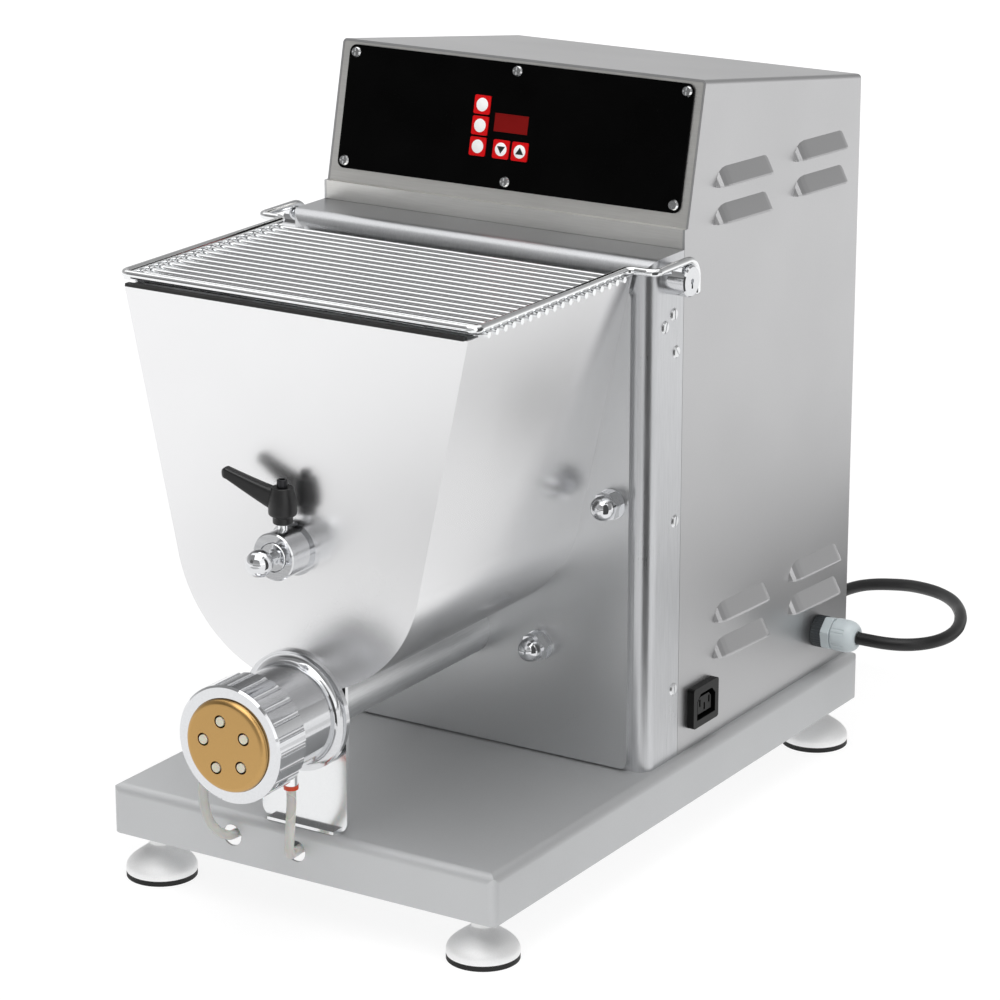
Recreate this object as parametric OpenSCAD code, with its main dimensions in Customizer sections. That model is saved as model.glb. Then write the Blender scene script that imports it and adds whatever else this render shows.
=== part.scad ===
// Counter-top pasta extruder: stainless housing on a base pan, hopper with mixer, extruder
// screw with bronze die and fluted ring nut, hinged rod guard and sprung control keys.
// X points right, Y to the back, Z up; the origin is on the table between the four feet.

/* [Base] */
// Width of the base pan
base_w = 290; // [282:2:310]
// Depth of the base pan
base_d = 480; // [470:2:500]
// Height of the skirt of the base pan
base_h = 33; // [30:1:40]
// Gap under the base pan, filled by the feet
foot_h = 32; // [30:1:40]
// Radius of the rubber pad of a foot
foot_r = 23; // [20:1:25]
// Distance from the edge of the base to the axis of a foot
foot_inset = 22; // [20:1:26]
// How far a foot screws down
foot_travel = 12; // [6:1:15]

/* [Housing] */
// Width over the side sheets
body_w = 274; // [270:1:278]
// Distance from the front of the base to the front frame
frame_setback = 195; // [190:1:200]
// Depth of the side flange of the front frame
frame_d = 41; // [38:1:44]
// Depth of the cover behind the front frame
cover_d = 238; // [230:1:250]
// Height of the front frame above the table
frame_top = 403.5; // [400:0.5:406]
// Height of the top edge of the fascia above the table
machine_h = 507; // [500:1:515]
// How much lower the top is at the back than at the fascia
top_fall = 31; // [24:1:38]
// How far the top edge of the fascia leans back
fascia_lean = 20.5; // [18:0.5:26]
// Sheet thickness
sheet = 1.5; // [1:0.1:2]

/* [Hopper] */
// Width of the hopper at the rim
hopper_w = 250; // [246:1:254]
// Height of the rim above the table
rim_z = 395; // [389:1:396]
// Outer radius of the trough round the mixer shaft
trough_r = 91; // [90:0.5:92]
// Front to back length of the hopper
hopper_d = 188.5; // [186:0.5:190]
// Thickness of the polished back plate
plate_t = 3; // [2:0.5:4]

/* [Drive] */
// Height of the screw axis
auger_z = 143; // [141:0.5:143]
// Gear module
gear_m = 2.5; // [2.5]
// Teeth of the mixer gear
mixer_teeth = 46; // [46]
// Teeth of the screw gear
auger_teeth = 38; // [38]
// Teeth of the motor pinion
pinion_teeth = 16; // [16]
// Radius swept by the mixer paddles
paddle_r = 83; // [74:1:84]
// Outer radius of the extruder tube
tube_r = 20; // [19.5:0.5:21]
// Bore radius of the extruder tube
bore_r = 17.8; // [17:0.1:18]
// Pitch of the screw flight
flight_pitch = 28; // [24:1:34]

/* [Extrusion head] */
// Outer radius of the head barrel
barrel_r = 32.4; // [32:0.1:32.8]
// Radius of the head flange
flange_r = 38.5; // [38:0.5:40]
// Outer radius of the ring nut
nut_r = 37.4; // [37:0.1:38]
// Length of the ring nut
nut_l = 29; // [27:1:31]
// Grooves round the ring nut
nut_grooves = 24; // [18:1:30]
// Radius of the bronze die where it shows
die_r = 29.4; // [28:0.1:29.6]
// Holes in the die
die_holes = 5; // [3:1:7]
// Radius of the circle of die holes
die_circle = 16; // [14:0.5:18]

/* [Guard] */
// Width over the middle of the side rods
lid_w = 258; // [256:1:264]
// Length from the front rod to the rear bend
lid_l = 173; // [170:0.5:174]
// Radius of the frame rod
rod_r = 2.5; // [2:0.1:2.5]
// Radius of a cross bar
bar_r = 2; // [1.5:0.1:2.2]
// Number of cross bars
bar_count = 18; // [14:1:20]

/* [Controls] */
// Width of the black overlay
overlay_w = 260; // [254:1:262]
// Width and height of a key
key_size = 12.2; // [11:0.1:13]
// How far a key stands proud of the overlay
key_proud = 0.6; // [0.5:0.1:1]

/* [Hidden] */

// Smoothness of round parts and of the small facets inside a hull
$fn = 64;
hull_fn = 24;
// Cut-outs reach this far past a face
eps = 1;
// Gap between faces that only just clear each other
slip = 0.05;

// Heights and depths that follow from the sizes above
base_top = foot_h + base_h;
front_y = -base_d / 2;
frame_y = front_y + frame_setback;
seam_y = frame_y + frame_d;
back_y = seam_y + cover_d;
plate_y = frame_y - plate_t;
hopper_y = plate_y - hopper_d;
mixer_z = auger_z + gear_m * (mixer_teeth + auger_teeth) / 2;
base_bend = 6;
frame_bend = 10;

// Fascia: a narrow upright strip, a ledge, then the sloping panel
strip_h = 11;
ledge_d = 4;
fascia_z = frame_top + strip_h + sheet;
fascia_y = seam_y + ledge_d;
fascia_top_y = fascia_y + fascia_lean;
fascia_angle = atan2(fascia_lean, machine_h - fascia_z);
fascia_l = norm([fascia_lean, machine_h - fascia_z]);
fall_angle = atan2(top_fall, back_y - fascia_top_y);
overlay_t = 1.2;
overlay_low = 8.5;
overlay_h = fascia_l - overlay_low - 3.3;
key_travel = 0.5;
key_gap = 0.15;
// Keys and display: place across the panel and up its slope
key_column_x = -23;
key_row_s = 34;
key_step = 13.5;
key_pair_x = [-5.2, 9];
display_x = 0;
display_s = 51;
display_size = [25.6, 12];
screw_x = overlay_w / 2 - 5;
// Middle of the board and of the opening before it
board_at = [-8, 47];

// Head
head_y = hopper_y - 3.5;
barrel_l = 62;
die_seat_y = head_y - barrel_l;
die_flange_t = 4;
die_t = 11;
lip_t = 3;
chamber_d = 12;

// Front bearing hub, pull pin and clamp lever
hub_r = 15;
hub_y = hopper_y - 23.5;
pin_r = 5;
pin_in = 9;
ball_r = 8.6;
ball_y = hub_y - 14;
stud_y = hub_y + 11;
stud_z = mixer_z + pin_r + 0.1;
lever_z = mixer_z + hub_r + 3.5;
lever_turn = -10;

// Guard: the cross bars lie just clear of the rim, the frame runs on over the bosses
bar_drop = rod_r + bar_r - 0.3;
lid_y = hopper_y + 2.5;
lid_z = rim_z + 0.4 + bar_drop + bar_r;
boss_r = 10;
boss_x = body_w / 2;
boss_l = 16;
hook_r = boss_r + 0.08 + rod_r;
hook_x = boss_x + 12;
pivot_y = frame_y + 23;
pivot_z = lid_z - hook_r;
bend_r = 6;

// Drive train behind the back plate
drive_t = 10;
drive_y = frame_y + sheet;
gear_y = drive_y + drive_t + 6;
gear_t = 14;
shaft_r = 8;
auger_core_r = 7;
pinion_x = 62;
pinion_z = mixer_z + 46.5;
motor_y = gear_y + gear_t + 8;
nut_places = [[112, 244.5], [-112, 244.5], [58.5, 140], [-58.5, 140]];
nut_stud_r = 5;

// Cooling hoses: route points by hand
hose_r = 3;
hose_hole_z = 50;
hose_left_x = -50;
hose_right_x = -1;
hose_left_path = [[-40, -262, 128.5], [-44, -262, 127], [-48.5, -262, 122], [-52, -262, 110],
    [-53.5, -263, 98], [-54.5, -263, 87], [-55, -261, 76], [-55, -258, 67], [-54, -254, 60],
    [-52, -249, 54.5], [-50, -243, 51], [-50, -236, 50], [-50, -226, 50], [-50, -215, 50]];
hose_right_path = [[12, -262, 101.9], [12, -262, 92], [11.5, -262.5, 82], [10.5, -262, 72],
    [8.5, -260, 64], [5.5, -256, 57], [2, -250, 52], [-0.5, -243, 50], [-1, -236, 50],
    [-1, -226, 50], [-1, -215, 50]];

// Mains cord: gland, route points by hand, coil behind the machine, plug
gland_y = 190;
gland_z = 94;
gland_l = 32;
cord_r = 4.4;
cord_path = [[169, 190, 94], [178, 190, 94], [188, 190.5, 94], [198, 193, 94], [207, 198.5, 94],
    [213.5, 207, 93.8], [217.5, 218, 93.5], [218.5, 231, 93], [216.5, 246, 92.5], [212, 261, 92],
    [205.5, 276, 91.5], [197, 291, 90.5], [187, 305, 89.5], [175, 318, 88], [161, 329.5, 86],
    [146, 339, 83.5], [130.5, 347, 80.5], [115, 352.5, 77], [99, 357, 73], [84, 360.5, 68],
    [69, 364, 60.5], [55, 367.5, 51], [41.5, 371, 41], [28, 374, 30.5], [14.5, 376.7, 20.5],
    [0.5, 378.5, 12], [-13, 379, 6.7], [-26, 379, 4.6]];
coil_at = [-40, 325];
coil_mid_r = 50;
coil_w = 4 * cord_r;
tail_path = [[-54, 272.5, 13.2], [-44, 270, 13.3], [-34, 267.6, 13.8], [-24, 265.4, 14.5],
    [-14, 263.6, 15.4], [-4, 262.4, 16.4], [6, 262, 17], [16, 262, 17]];
plug_at = [16, 262];
plug_r = 17;

// Louvers pressed in the side sheets: y and z of the lower corner at the front end
louver_l = 72;
louver_rise = 13;
louver_out = 6;
louver_tilt = 2.8;
louver_places = [[34, 436], [33.5, 412], [139.5, 433.5], [140, 410],
    [42, 143], [42, 118], [145.5, 142], [146, 118]];
outlet_y = 25;
outlet_z = 93;
flange_screws = [[-16.5, 364.5], [-27.5, 358.5], [-13, 339.5], [-12, 227.5], [-11, 113]];

// ---------------------------------------------------------------- shared shapes

// Flat plate centred on the axis with round upright corners
module slab(w, d, h, r) {
    translate([-w / 2 + r, -d / 2, 0]) cube([w - 2 * r, d, h]);
    translate([-w / 2, -d / 2 + r, 0]) cube([w, d - 2 * r, h]);
    for (x = [-1, 1], y = [-1, 1])
        translate([x * (w / 2 - r), y * (d / 2 - r), 0]) cylinder(r = r, h = h);
}

// Outline with round corners, centred
module round_rect(w, h, r) {
    square([w - 2 * r, h], center = true);
    square([w, h - 2 * r], center = true);
    for (x = [-1, 1], y = [-1, 1])
        translate([x * (w / 2 - r), y * (h / 2 - r)]) circle(r = r);
}

// Box with round upright corners and round top edges, standing on z = 0
module soft_box(w, d, h, r) {
    intersection() {
        slab(w, d, h, r);
        translate([0, d / 2, 0]) rotate([90, 0, 0]) linear_extrude(d) soft_top(w, h, r);
        translate([-w / 2, 0, 0]) rotate([90, 0, 90]) linear_extrude(w) soft_top(d, h, r);
    }
}
module soft_top(w, h, r) {
    translate([-w / 2, 0]) square([w, h - r]);
    translate([-w / 2 + r, 0]) square([w - 2 * r, h]);
    for (x = [-1, 1])
        translate([x * (w / 2 - r), h - r]) circle(r = r);
}

// Round bar from p to q
module rod(p, q, r) {
    v = q - p;
    l = norm(v);
    translate(p) rotate([0, acos(v[2] / l), atan2(v[1], v[0])]) cylinder(r = r, h = l, $fn = 24);
}

// A revolved part about an axis along Y; the profile is drawn as [radius, depth behind y]
module turned(y, z) {
    translate([0, y, z]) rotate([-90, 0, 0]) rotate_extrude() children();
}

// Cylinder along +Y from y, on the axis x = 0, z
module bar_y(y, z, r, l) {
    translate([0, y, z]) rotate([-90, 0, 0]) cylinder(r = r, h = l);
}

// Prism along X of a (y, z) outline, centred, w wide
module across(w) {
    translate([-w / 2, 0, 0]) rotate([90, 0, 90]) linear_extrude(w) children();
}

// Prism along Y of an (x, z) outline, from y, l long
module along(y, l) {
    translate([0, y + l, 0]) rotate([90, 0, 0]) linear_extrude(l) children();
}

// Places a child on the fascia: across, up the slope, out of its face
module on_fascia(x, s, out = 0) {
    translate([0, fascia_y, fascia_z]) rotate([90 - fascia_angle, 0, 0]) translate([x, s, out]) children();
}

// Round tube swept through route points, carried along without twist
function unit(v) = v / norm(v);
function tangent(p, i) = unit(p[min(i + 1, len(p) - 1)] - p[max(i - 1, 0)]);
function first_side(t) = unit(cross(t, abs(t[2]) < 0.9 ? [0, 0, 1] : [1, 0, 0]));
function next_side(s, t) = unit(s - t * (s * t));
function side(p, i) = i == 0 ? first_side(tangent(p, 0)) : next_side(side(p, i - 1), tangent(p, i));
function ring(p, i, r, n) =
    let (t = tangent(p, i), s = side(p, i), u = cross(t, s))
    [for (k = [0:n - 1]) p[i] + r * (cos(360 * k / n) * s + sin(360 * k / n) * u)];
module swept(p, r, n) loft([for (i = [0:len(p) - 1]) ring(p, i, r, n)]);

// Solid through closed rings that all have the same number of points
module loft(rings) {
    m = len(rings);
    n = len(rings[0]);
    walls = [for (i = [0:m - 2], k = [0:n - 1])
        let (a = i * n + k, b = i * n + (k + 1) % n)
        each [[a, a + n, b + n], [a, b + n, b]]];
    ends = [[for (k = [0:n - 1]) k], [for (k = [n - 1:-1:0]) (m - 1) * n + k]];
    polyhedron(points = [for (q = rings) each q], faces = concat(walls, ends), convexity = 10);
}

// Involute gear outline: half the angular thickness of a tooth at radius q
function involute(q, rb) = sqrt(pow(q / rb, 2) - 1) * 180 / PI - acos(rb / q);
function half_tooth(q, z, m, play) =
    let (rp = m * z / 2, rb = rp * cos(20))
    90 / z - play + involute(rp, rb) - involute(max(q, rb), rb);
function gear_outline(z, m, play) =
    let (rp = m * z / 2, tip = rp + 0.95 * m, root = rp - 1.2 * m, low = max(root, rp * cos(20)),
        qs = [low, low + (tip - low) * 0.35, low + (tip - low) * 0.7, tip])
    [for (i = [0:z - 1]) each concat(
        [[root, i * 360 / z - half_tooth(low, z, m, play)]],
        [for (q = qs) [q, i * 360 / z - half_tooth(q, z, m, play)]],
        [for (k = [3:-1:0]) [qs[k], i * 360 / z + half_tooth(qs[k], z, m, play)]],
        [[root, i * 360 / z + half_tooth(low, z, m, play)]])];
module gear(z, bore, turn, tooth_play = 0.35) {
    pts = [for (a = gear_outline(z, gear_m, tooth_play)) a[0] * [cos(a[1]), sin(a[1])]];
    rotate([-90, 0, 0]) difference() {
        union() {
            rotate(turn) linear_extrude(gear_t) polygon(pts);
            cylinder(r = bore + 8, h = gear_t + 4);
        }
        translate([0, 0, -eps]) cylinder(r = bore, h = gear_t + 4 + 2 * eps);
    }
}

// ---------------------------------------------------------------- base and feet

foot_places = [[-1, -1], [1, -1], [-1, 1], [1, 1]];
function foot_at(i) =
    [foot_places[i][0] * (base_w / 2 - foot_inset), foot_places[i][1] * (base_d / 2 - foot_inset)];

module base_pan() color("silver") {
    stud_r = 5;
    difference() {
        union() {
            difference() {
                translate([0, 0, foot_h]) soft_box(base_w, base_d, base_h, base_bend);
                translate([0, 0, foot_h - eps])
                    soft_box(base_w - 2 * sheet, base_d - 2 * sheet, base_h - sheet + eps, base_bend - sheet);
            }
            for (i = [0:3])
                translate([foot_at(i)[0], foot_at(i)[1], foot_h]) cylinder(r = 13, h = base_h - sheet / 2);
        }
        for (i = [0:3])
            translate([foot_at(i)[0], foot_at(i)[1], foot_h - eps])
                cylinder(r = stud_r + slip, h = base_h - 2 * sheet + eps);
        for (x = [hose_left_x, hose_right_x])
            bar_hole(x, front_y, hose_hole_z, 7, 3 * sheet);
    }
}
module bar_hole(x, y, z, r, l) {
    translate([x, y - eps, z]) rotate([-90, 0, 0]) cylinder(r = r, h = l);
}

module foot(i) color("gainsboro") {
    stem_r = 7.5;
    steps = 12;
    at = foot_at(i);
    translate([at[0], at[1], 0]) {
        // Bell that sweeps up into the stem
        rotate_extrude() polygon(concat([[0, 3.5], [foot_r, 3.5]],
            [for (k = [0:steps]) [stem_r + (foot_r - stem_r) * pow((1 + cos(180 * k / steps)) / 2, 0.7),
                6 + 16 * k / steps]],
            [[stem_r, foot_h - slip], [0, foot_h - slip]]));
        translate([0, 0, foot_h - 2]) cylinder(r = 5, h = base_h - 5);
    }
}
module pad(i) color("black") {
    at = foot_at(i);
    translate([at[0], at[1], 0]) cylinder(r = foot_r, h = 3.5);
}
module foot_fl() foot(0);
module foot_fr() foot(1);
module foot_rl() foot(2);
module foot_rr() foot(3);
module pad_fl() pad(0);
module pad_fr() pad(1);
module pad_rl() pad(2);
module pad_rr() pad(3);

// ---------------------------------------------------------------- housing

// Plan and side outlines of the front frame, drawn in by t
module frame_plan(t) {
    x = body_w / 2;
    r = frame_bend;
    translate([-x + t, frame_y + r]) square([2 * (x - t), frame_d - r + (t > 0 ? eps : -0.3)]);
    translate([-x + r, frame_y + t]) square([2 * (x - r), r]);
    for (s = [-1, 1])
        translate([s * (x - r), frame_y + r]) circle(r = r - t);
}
module frame_side(t) {
    r = frame_bend;
    translate([frame_y + t, base_top - (t > 0 ? eps : 0)])
        square([frame_d + 2 * eps, frame_top - r - base_top + (t > 0 ? eps : 0)]);
    translate([frame_y + r, base_top - (t > 0 ? eps : 0)])
        square([frame_d + 2 * eps, frame_top - t - base_top + (t > 0 ? eps : 0)]);
    translate([frame_y + r, frame_top - r]) circle(r = r - t);
}
module frame_solid(t) {
    intersection() {
        translate([0, 0, base_top - 2 * eps]) linear_extrude(frame_top) frame_plan(t);
        across(body_w + 2 * eps) frame_side(t);
    }
}
module stud_holes(y, t) {
    for (p = nut_places)
        translate([p[0], y - eps, p[1]]) rotate([-90, 0, 0]) cylinder(r = nut_stud_r + slip, h = t + 2 * eps);
}
module front_frame() color("silver") difference() {
    frame_solid(0);
    frame_solid(sheet);
    // Window behind the polished plate, for the shafts and studs
    translate([-105, frame_y - eps, base_top + 8]) cube([210, sheet + 2 * eps, 300]);
    stud_holes(frame_y, sheet);
    for (s = [-1, 1], p = flange_screws)
        translate([s * body_w / 2, p[0], p[1]]) rotate([0, 90, 0])
            cylinder(r = 2.6, h = 4 * sheet, center = true);
    for (s = [-1, 1])
        translate([s * body_w / 2, pivot_y, pivot_z]) rotate([0, 90, 0])
            cylinder(r = 4 + slip, h = 4 * sheet, center = true);
}

// Side outline of the cover, open above; the sloping top cuts it off
module cover_side() {
    over = 20;
    polygon([[seam_y, base_top], [seam_y, fascia_z], [fascia_y, fascia_z],
        [fascia_top_y + over * tan(fascia_angle), machine_h + over], [back_y, machine_h + over],
        [back_y, base_top]]);
}
// Section of the cover with its top edge at z = 0, drawn in by t
module cover_section(t) {
    r = 3 - t;
    x = body_w / 2 - t;
    deep = machine_h + cover_d;
    translate([-x, -deep]) square([2 * x, deep - t - r]);
    translate([-x + r, -deep]) square([2 * (x - r), deep - t]);
    for (s = [-1, 1])
        translate([s * (x - r), -t - r]) circle(r = r);
}
// The section run along the sloping top, longer than the cover at both ends
module cover_prism(t) {
    spare = 150;
    translate([0, fascia_top_y, machine_h]) rotate([-fall_angle, 0, 0])
        along(-spare, cover_d + 2 * spare) cover_section(t);
}
// Pressed louver hood on the +X face: flush at the top, its sharp lip below, drawn in by t
louver_ends = [[0.4, 0.06], [1.6, 0.5], [4, 0.78], [8, 0.94], [13, 1]];
function louver_ring(y, k, t) =
    let (root = t > 0 ? -eps : -0.3, low = t > 0 ? -eps : 0,
        out = (louver_out - t) * k, rise = (louver_rise - 2.4 * t) * k)
    [[root, y, low], [root, y, rise], [out * 0.96, y, rise * 0.13], [out, y, rise * 0.05],
        [out * 0.97, y, low]];
module louver_hood(t) {
    ends = louver_ends;
    last = len(ends) - 1;
    loft(concat([for (e = ends) louver_ring(e[0] + t, e[1], t)],
        [for (i = [last:-1:0]) louver_ring(louver_l - ends[i][0] * 0.6 - t, ends[i][1], t)]));
}
module at_louver(s, p) {
    translate([s * body_w / 2, p[0], p[1]]) rotate([-louver_tilt, 0, 0])
        mirror([s < 0 ? 1 : 0, 0, 0]) children();
}
module body_cover() color("silver") {
    difference() {
        intersection() {
            cover_prism(0);
            across(body_w + 2 * eps) cover_side();
        }
        cover_prism(sheet);
        for (s = [-1, 1], p = louver_places)
            at_louver(s, p) translate([-2 * sheet, 6, 0]) cube([4 * sheet, louver_l - 12, louver_rise / 2]);
        translate([body_w / 2 - 2 * sheet, outlet_y - 14, outlet_z - 10.8]) cube([4 * sheet, 28, 21.6]);
        translate([body_w / 2 - 2 * sheet, gland_y, gland_z]) rotate([0, 90, 0])
            cylinder(r = 8 + slip, h = 4 * sheet);
    }
    for (s = [-1, 1], p = louver_places)
        at_louver(s, p) difference() {
            louver_hood(0);
            louver_hood(sheet * 0.6);
        }
}

module rear_panel() color("silver") difference() {
    w = body_w - 2 * sheet - 0.4;
    intersection() {
        cover_prism(sheet + 0.2);
        translate([-w / 2, back_y - sheet, base_top + 0.2]) cube([w, sheet, machine_h]);
    }
    // Two banks of vent slots
    for (z = [130, 390], i = [-4:4])
        translate([i * 14, back_y - sheet / 2, z]) rotate([90, 0, 0])
            linear_extrude(4 * sheet, center = true) round_rect(5, 46, 2.4);
    for (s = [-1, 1], z = rear_screw_z)
        translate([s * (w / 2 - 8), back_y, z]) rotate([90, 0, 0])
            cylinder(r = 2.6, h = 4 * sheet, center = true);
}
rear_screw_z = [90, 270, 450];

module fascia_panel() color("silver") {
    w = body_w - 2 * sheet - 0.2;
    t = sheet;
    run = t / cos(fascia_angle);
    difference() {
        intersection() {
            across(w) polygon([[seam_y, frame_top + 0.1], [seam_y, fascia_z], [fascia_y, fascia_z],
                [fascia_top_y, machine_h], [fascia_top_y + run, machine_h],
                [fascia_y + run - t * tan(fascia_angle), fascia_z - t],
                [seam_y + t, fascia_z - t], [seam_y + t, frame_top + 0.1]]);
            cover_prism(sheet + 0.1);
        }
        on_fascia(board_at[0], board_at[1], -3 * sheet)
            linear_extrude(6 * sheet) square([66, 50], center = true);
        for (p = panel_screw_places())
            on_fascia(p[0], p[1], -3 * sheet) cylinder(r = 2, h = 6 * sheet);
    }
}
function panel_screw_places() =
    [for (s = [overlay_low + 5, overlay_low + overlay_h - 5], x = [-screw_x, 0, screw_x]) [x, s]];

// ---------------------------------------------------------------- control panel

key_names = ["start", "pause", "stop", "down", "up"];
key_places = [for (i = [0:2]) [key_column_x, key_row_s + (2 - i) * key_step],
    [key_pair_x[0], key_row_s], [key_pair_x[1], key_row_s]];

module control_overlay() color([0.03, 0.03, 0.03]) on_fascia(0, overlay_low, 0.02) difference() {
    translate([0, overlay_h / 2, 0]) linear_extrude(overlay_t) round_rect(overlay_w, overlay_h, 5);
    for (p = key_places)
        translate([p[0], p[1] - overlay_low, -eps])
            linear_extrude(overlay_t + 2 * eps) square(key_size + 2 * key_gap, center = true);
    translate([display_x, display_s - overlay_low, -eps])
        linear_extrude(overlay_t + 2 * eps) square(display_size, center = true);
    for (p = panel_screw_places())
        translate([p[0], p[1] - overlay_low, -eps]) cylinder(r = 2, h = overlay_t + 2 * eps);
}
module display_window() color([0.35, 0.03, 0.03]) on_fascia(display_x, display_s, -2.4)
    linear_extrude(2.4 + overlay_t) square(display_size - [0.2, 0.2], center = true);
module key(i) color("red") on_fascia(key_places[i][0], key_places[i][1], -2) {
    linear_extrude(2 + overlay_t + key_proud) round_rect(key_size, key_size, 1.2);
    // Plunger that meets the switch
    translate([0, 0, -1.4]) cylinder(r = 2, h = 2);
}
module key_start() key(0);
module key_pause() key(1);
module key_stop() key(2);
module key_down() key(3);
module key_up() key(4);

module control_board() color("darkgreen") {
    on_fascia(board_at[0], board_at[1], -10) {
        translate([-33, -30, 0]) cube([66, 60, 1.6]);
        for (x = [-31, 31], s = [-28, 28])
            translate([x, s, 1.6]) cylinder(r = 2, h = 10 - 1.6 - sheet - 0.02);
    }
    // One switch block under each key and the display driver behind its window
    for (p = key_places)
        on_fascia(p[0], p[1], -8.4) linear_extrude(4.4) square(6, center = true);
    on_fascia(display_x, display_s, -8.4) linear_extrude(5.9) square(display_size, center = true);
}

module panel_screws() color("gainsboro") for (p = panel_screw_places())
    on_fascia(p[0], p[1], overlay_t + 0.02) difference() {
        union() {
            cylinder(r1 = 3.6, r2 = 2.8, h = 1.4);
            translate([0, 0, -6]) cylinder(r = 1.9, h = 6.2);
        }
        translate([-0.45, -2.4, 0.7]) cube([0.9, 4.8, 2]);
        translate([-2.4, -0.45, 0.7]) cube([4.8, 0.9, 2]);
    }

// Slotted oval-head screw standing on z = 0
module slotted_screw(turn) {
    difference() {
        union() {
            cylinder(r1 = 4.3, r2 = 3.2, h = 1.1);
            translate([0, 0, -5]) cylinder(r = 2.5, h = 5.2);
        }
        rotate(turn) translate([-0.5, -5, 0.4]) cube([1, 10, 2]);
    }
}
screw_turns = [0, -22, 38, -12, 8];
module housing_screws() color("gainsboro") {
    for (s = [-1, 1], i = [0:len(flange_screws) - 1])
        translate([s * body_w / 2, flange_screws[i][0], flange_screws[i][1]])
            rotate([0, s * 90, 0]) slotted_screw(screw_turns[i] + 90);
    for (s = [-1, 1], z = rear_screw_z)
        translate([s * (body_w / 2 - sheet - 8.2), back_y, z]) rotate([-90, 0, 0]) slotted_screw(z);
}

// ---------------------------------------------------------------- hopper and back plate

module back_plate() color("whitesmoke") difference() {
    w = 248;
    h = 318;
    along(plate_y, plate_t) translate([0, base_top + 1.5 + h / 2]) round_rect(w, h, 5);
    bar_y(plate_y - eps, mixer_z, shaft_r + 0.5, plate_t + 2 * eps);
    bar_y(plate_y - eps, auger_z, auger_core_r + 0.5, plate_t + 2 * eps);
    stud_holes(plate_y, plate_t);
}

// Cast plate that carries the shafts, the motor and, through the studs, the hopper
module drive_plate() color("lightgray") difference() {
    translate([-126, drive_y, base_top]) cube([252, drive_t, 318]);
    bar_y(drive_y - eps, mixer_z, 13, drive_t + 2 * eps);
    bar_y(drive_y - eps, auger_z, 13, drive_t + 2 * eps);
    stud_holes(drive_y, drive_t);
}
module shaft_bushes() color("peru") for (b = [[mixer_z, shaft_r], [auger_z, auger_core_r]])
    difference() {
        union() {
            bar_y(drive_y, b[0], 13, drive_t);
            bar_y(drive_y + drive_t, b[0], 16, 3);
        }
        bar_y(drive_y - eps, b[0], b[1] + slip, drive_t + 5);
    }

// Domed nut on a washer, with the stud that runs back through both plates
module acorn_nuts() color("gainsboro") for (p = nut_places)
    translate([p[0], plate_y, p[1]]) rotate([90, 0, 0]) {
        cylinder(r = 10, h = 1.6);
        translate([0, 0, 1.6]) rotate(p[0] > 0 ? 12 : -12) cylinder(r = 9.6, h = 8, $fn = 6);
        translate([0, 0, 9.6]) cylinder(r = 7.9, h = 2.4);
        translate([0, 0, 12]) intersection() {
            sphere(r = 7.9);
            translate([-10, -10, 0]) cube(20);
        }
        rotate([180, 0, 0]) cylinder(r = nut_stud_r, h = plate_t + sheet + drive_t);
        translate([0, 0, -(plate_t + sheet + drive_t) - 5]) cylinder(r = 8.5, h = 5, $fn = 6);
    }

// Outline of the trough with its straight sides, drawn in by t
module trough_outline(t) {
    a = hopper_w / 2 - t * 1.03;
    h = rim_z - mixer_z;
    r = trough_r - t;
    phi = atan2(h, a) - acos(r / norm([a, h])) + 3;
    seam = r * [cos(phi), sin(phi)];
    run = ([a, h] - seam) / norm([a, h] - seam);
    top = [a, h] + run * (t > 0 ? eps : 0);
    low = seam - run * 5;
    translate([0, mixer_z]) {
        circle(r = r, $fn = 128);
        polygon([[-low[0], low[1]], [-top[0], top[1]], top, low]);
    }
}
module hopper() color("whitesmoke") difference() {
    along(hopper_y, hopper_d) trough_outline(0);
    along(hopper_y + sheet, hopper_d) trough_outline(sheet);
    bar_y(hopper_y - eps, auger_z, bore_r, hopper_d + 2 * eps);
    bar_y(hopper_y - eps, mixer_z, pin_r + 0.4, sheet + 2 * eps);
}
module rim_seal() color("black") translate([-hopper_w / 2 + 2, hopper_y - 2, rim_z])
    cube([hopper_w - 4, 4, 2]);

module extruder_tube() color("silver") difference() {
    bar_y(hopper_y, auger_z, tube_r, hopper_d);
    bar_y(hopper_y - eps, auger_z, bore_r, hopper_d + 2 * eps);
    bar_y(hopper_y - eps, mixer_z, trough_r + slip, hopper_d + 2 * eps);
}

// Upright bracket that stands the head on the base
module head_bracket() color("whitesmoke") {
    w = 64;
    y = hopper_y + 5;
    difference() {
        along(y, 3) union() {
            translate([0, base_top + 40]) round_rect(w, 80, 8);
            translate([-w / 2, base_top + 50]) square([w, 50]);
        }
        bar_y(y - eps, auger_z, tube_r + slip, 6);
        bar_y(y - eps, mixer_z, trough_r + slip, 6);
    }
    translate([-25, y - 5, base_top]) cube([50, 5, 2]);
}

// ---------------------------------------------------------------- extrusion head

module head_barrel() color("gainsboro") turned(die_seat_y, auger_z) difference() {
    l = hopper_y - die_seat_y;
    fillet = 5;
    union() {
        square([barrel_r, l]);
        translate([0, barrel_l]) square([flange_r, l - barrel_l]);
        translate([0, barrel_l - fillet]) square([barrel_r + fillet, fillet + eps]);
    }
    translate([barrel_r + fillet, barrel_l - fillet]) circle(r = fillet);
    translate([0, -eps]) square([bore_r, l + 2 * eps]);
    translate([0, -eps]) square([25, chamber_d + eps]);
    translate([-100, -eps]) square([100, 200]);
}

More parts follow.
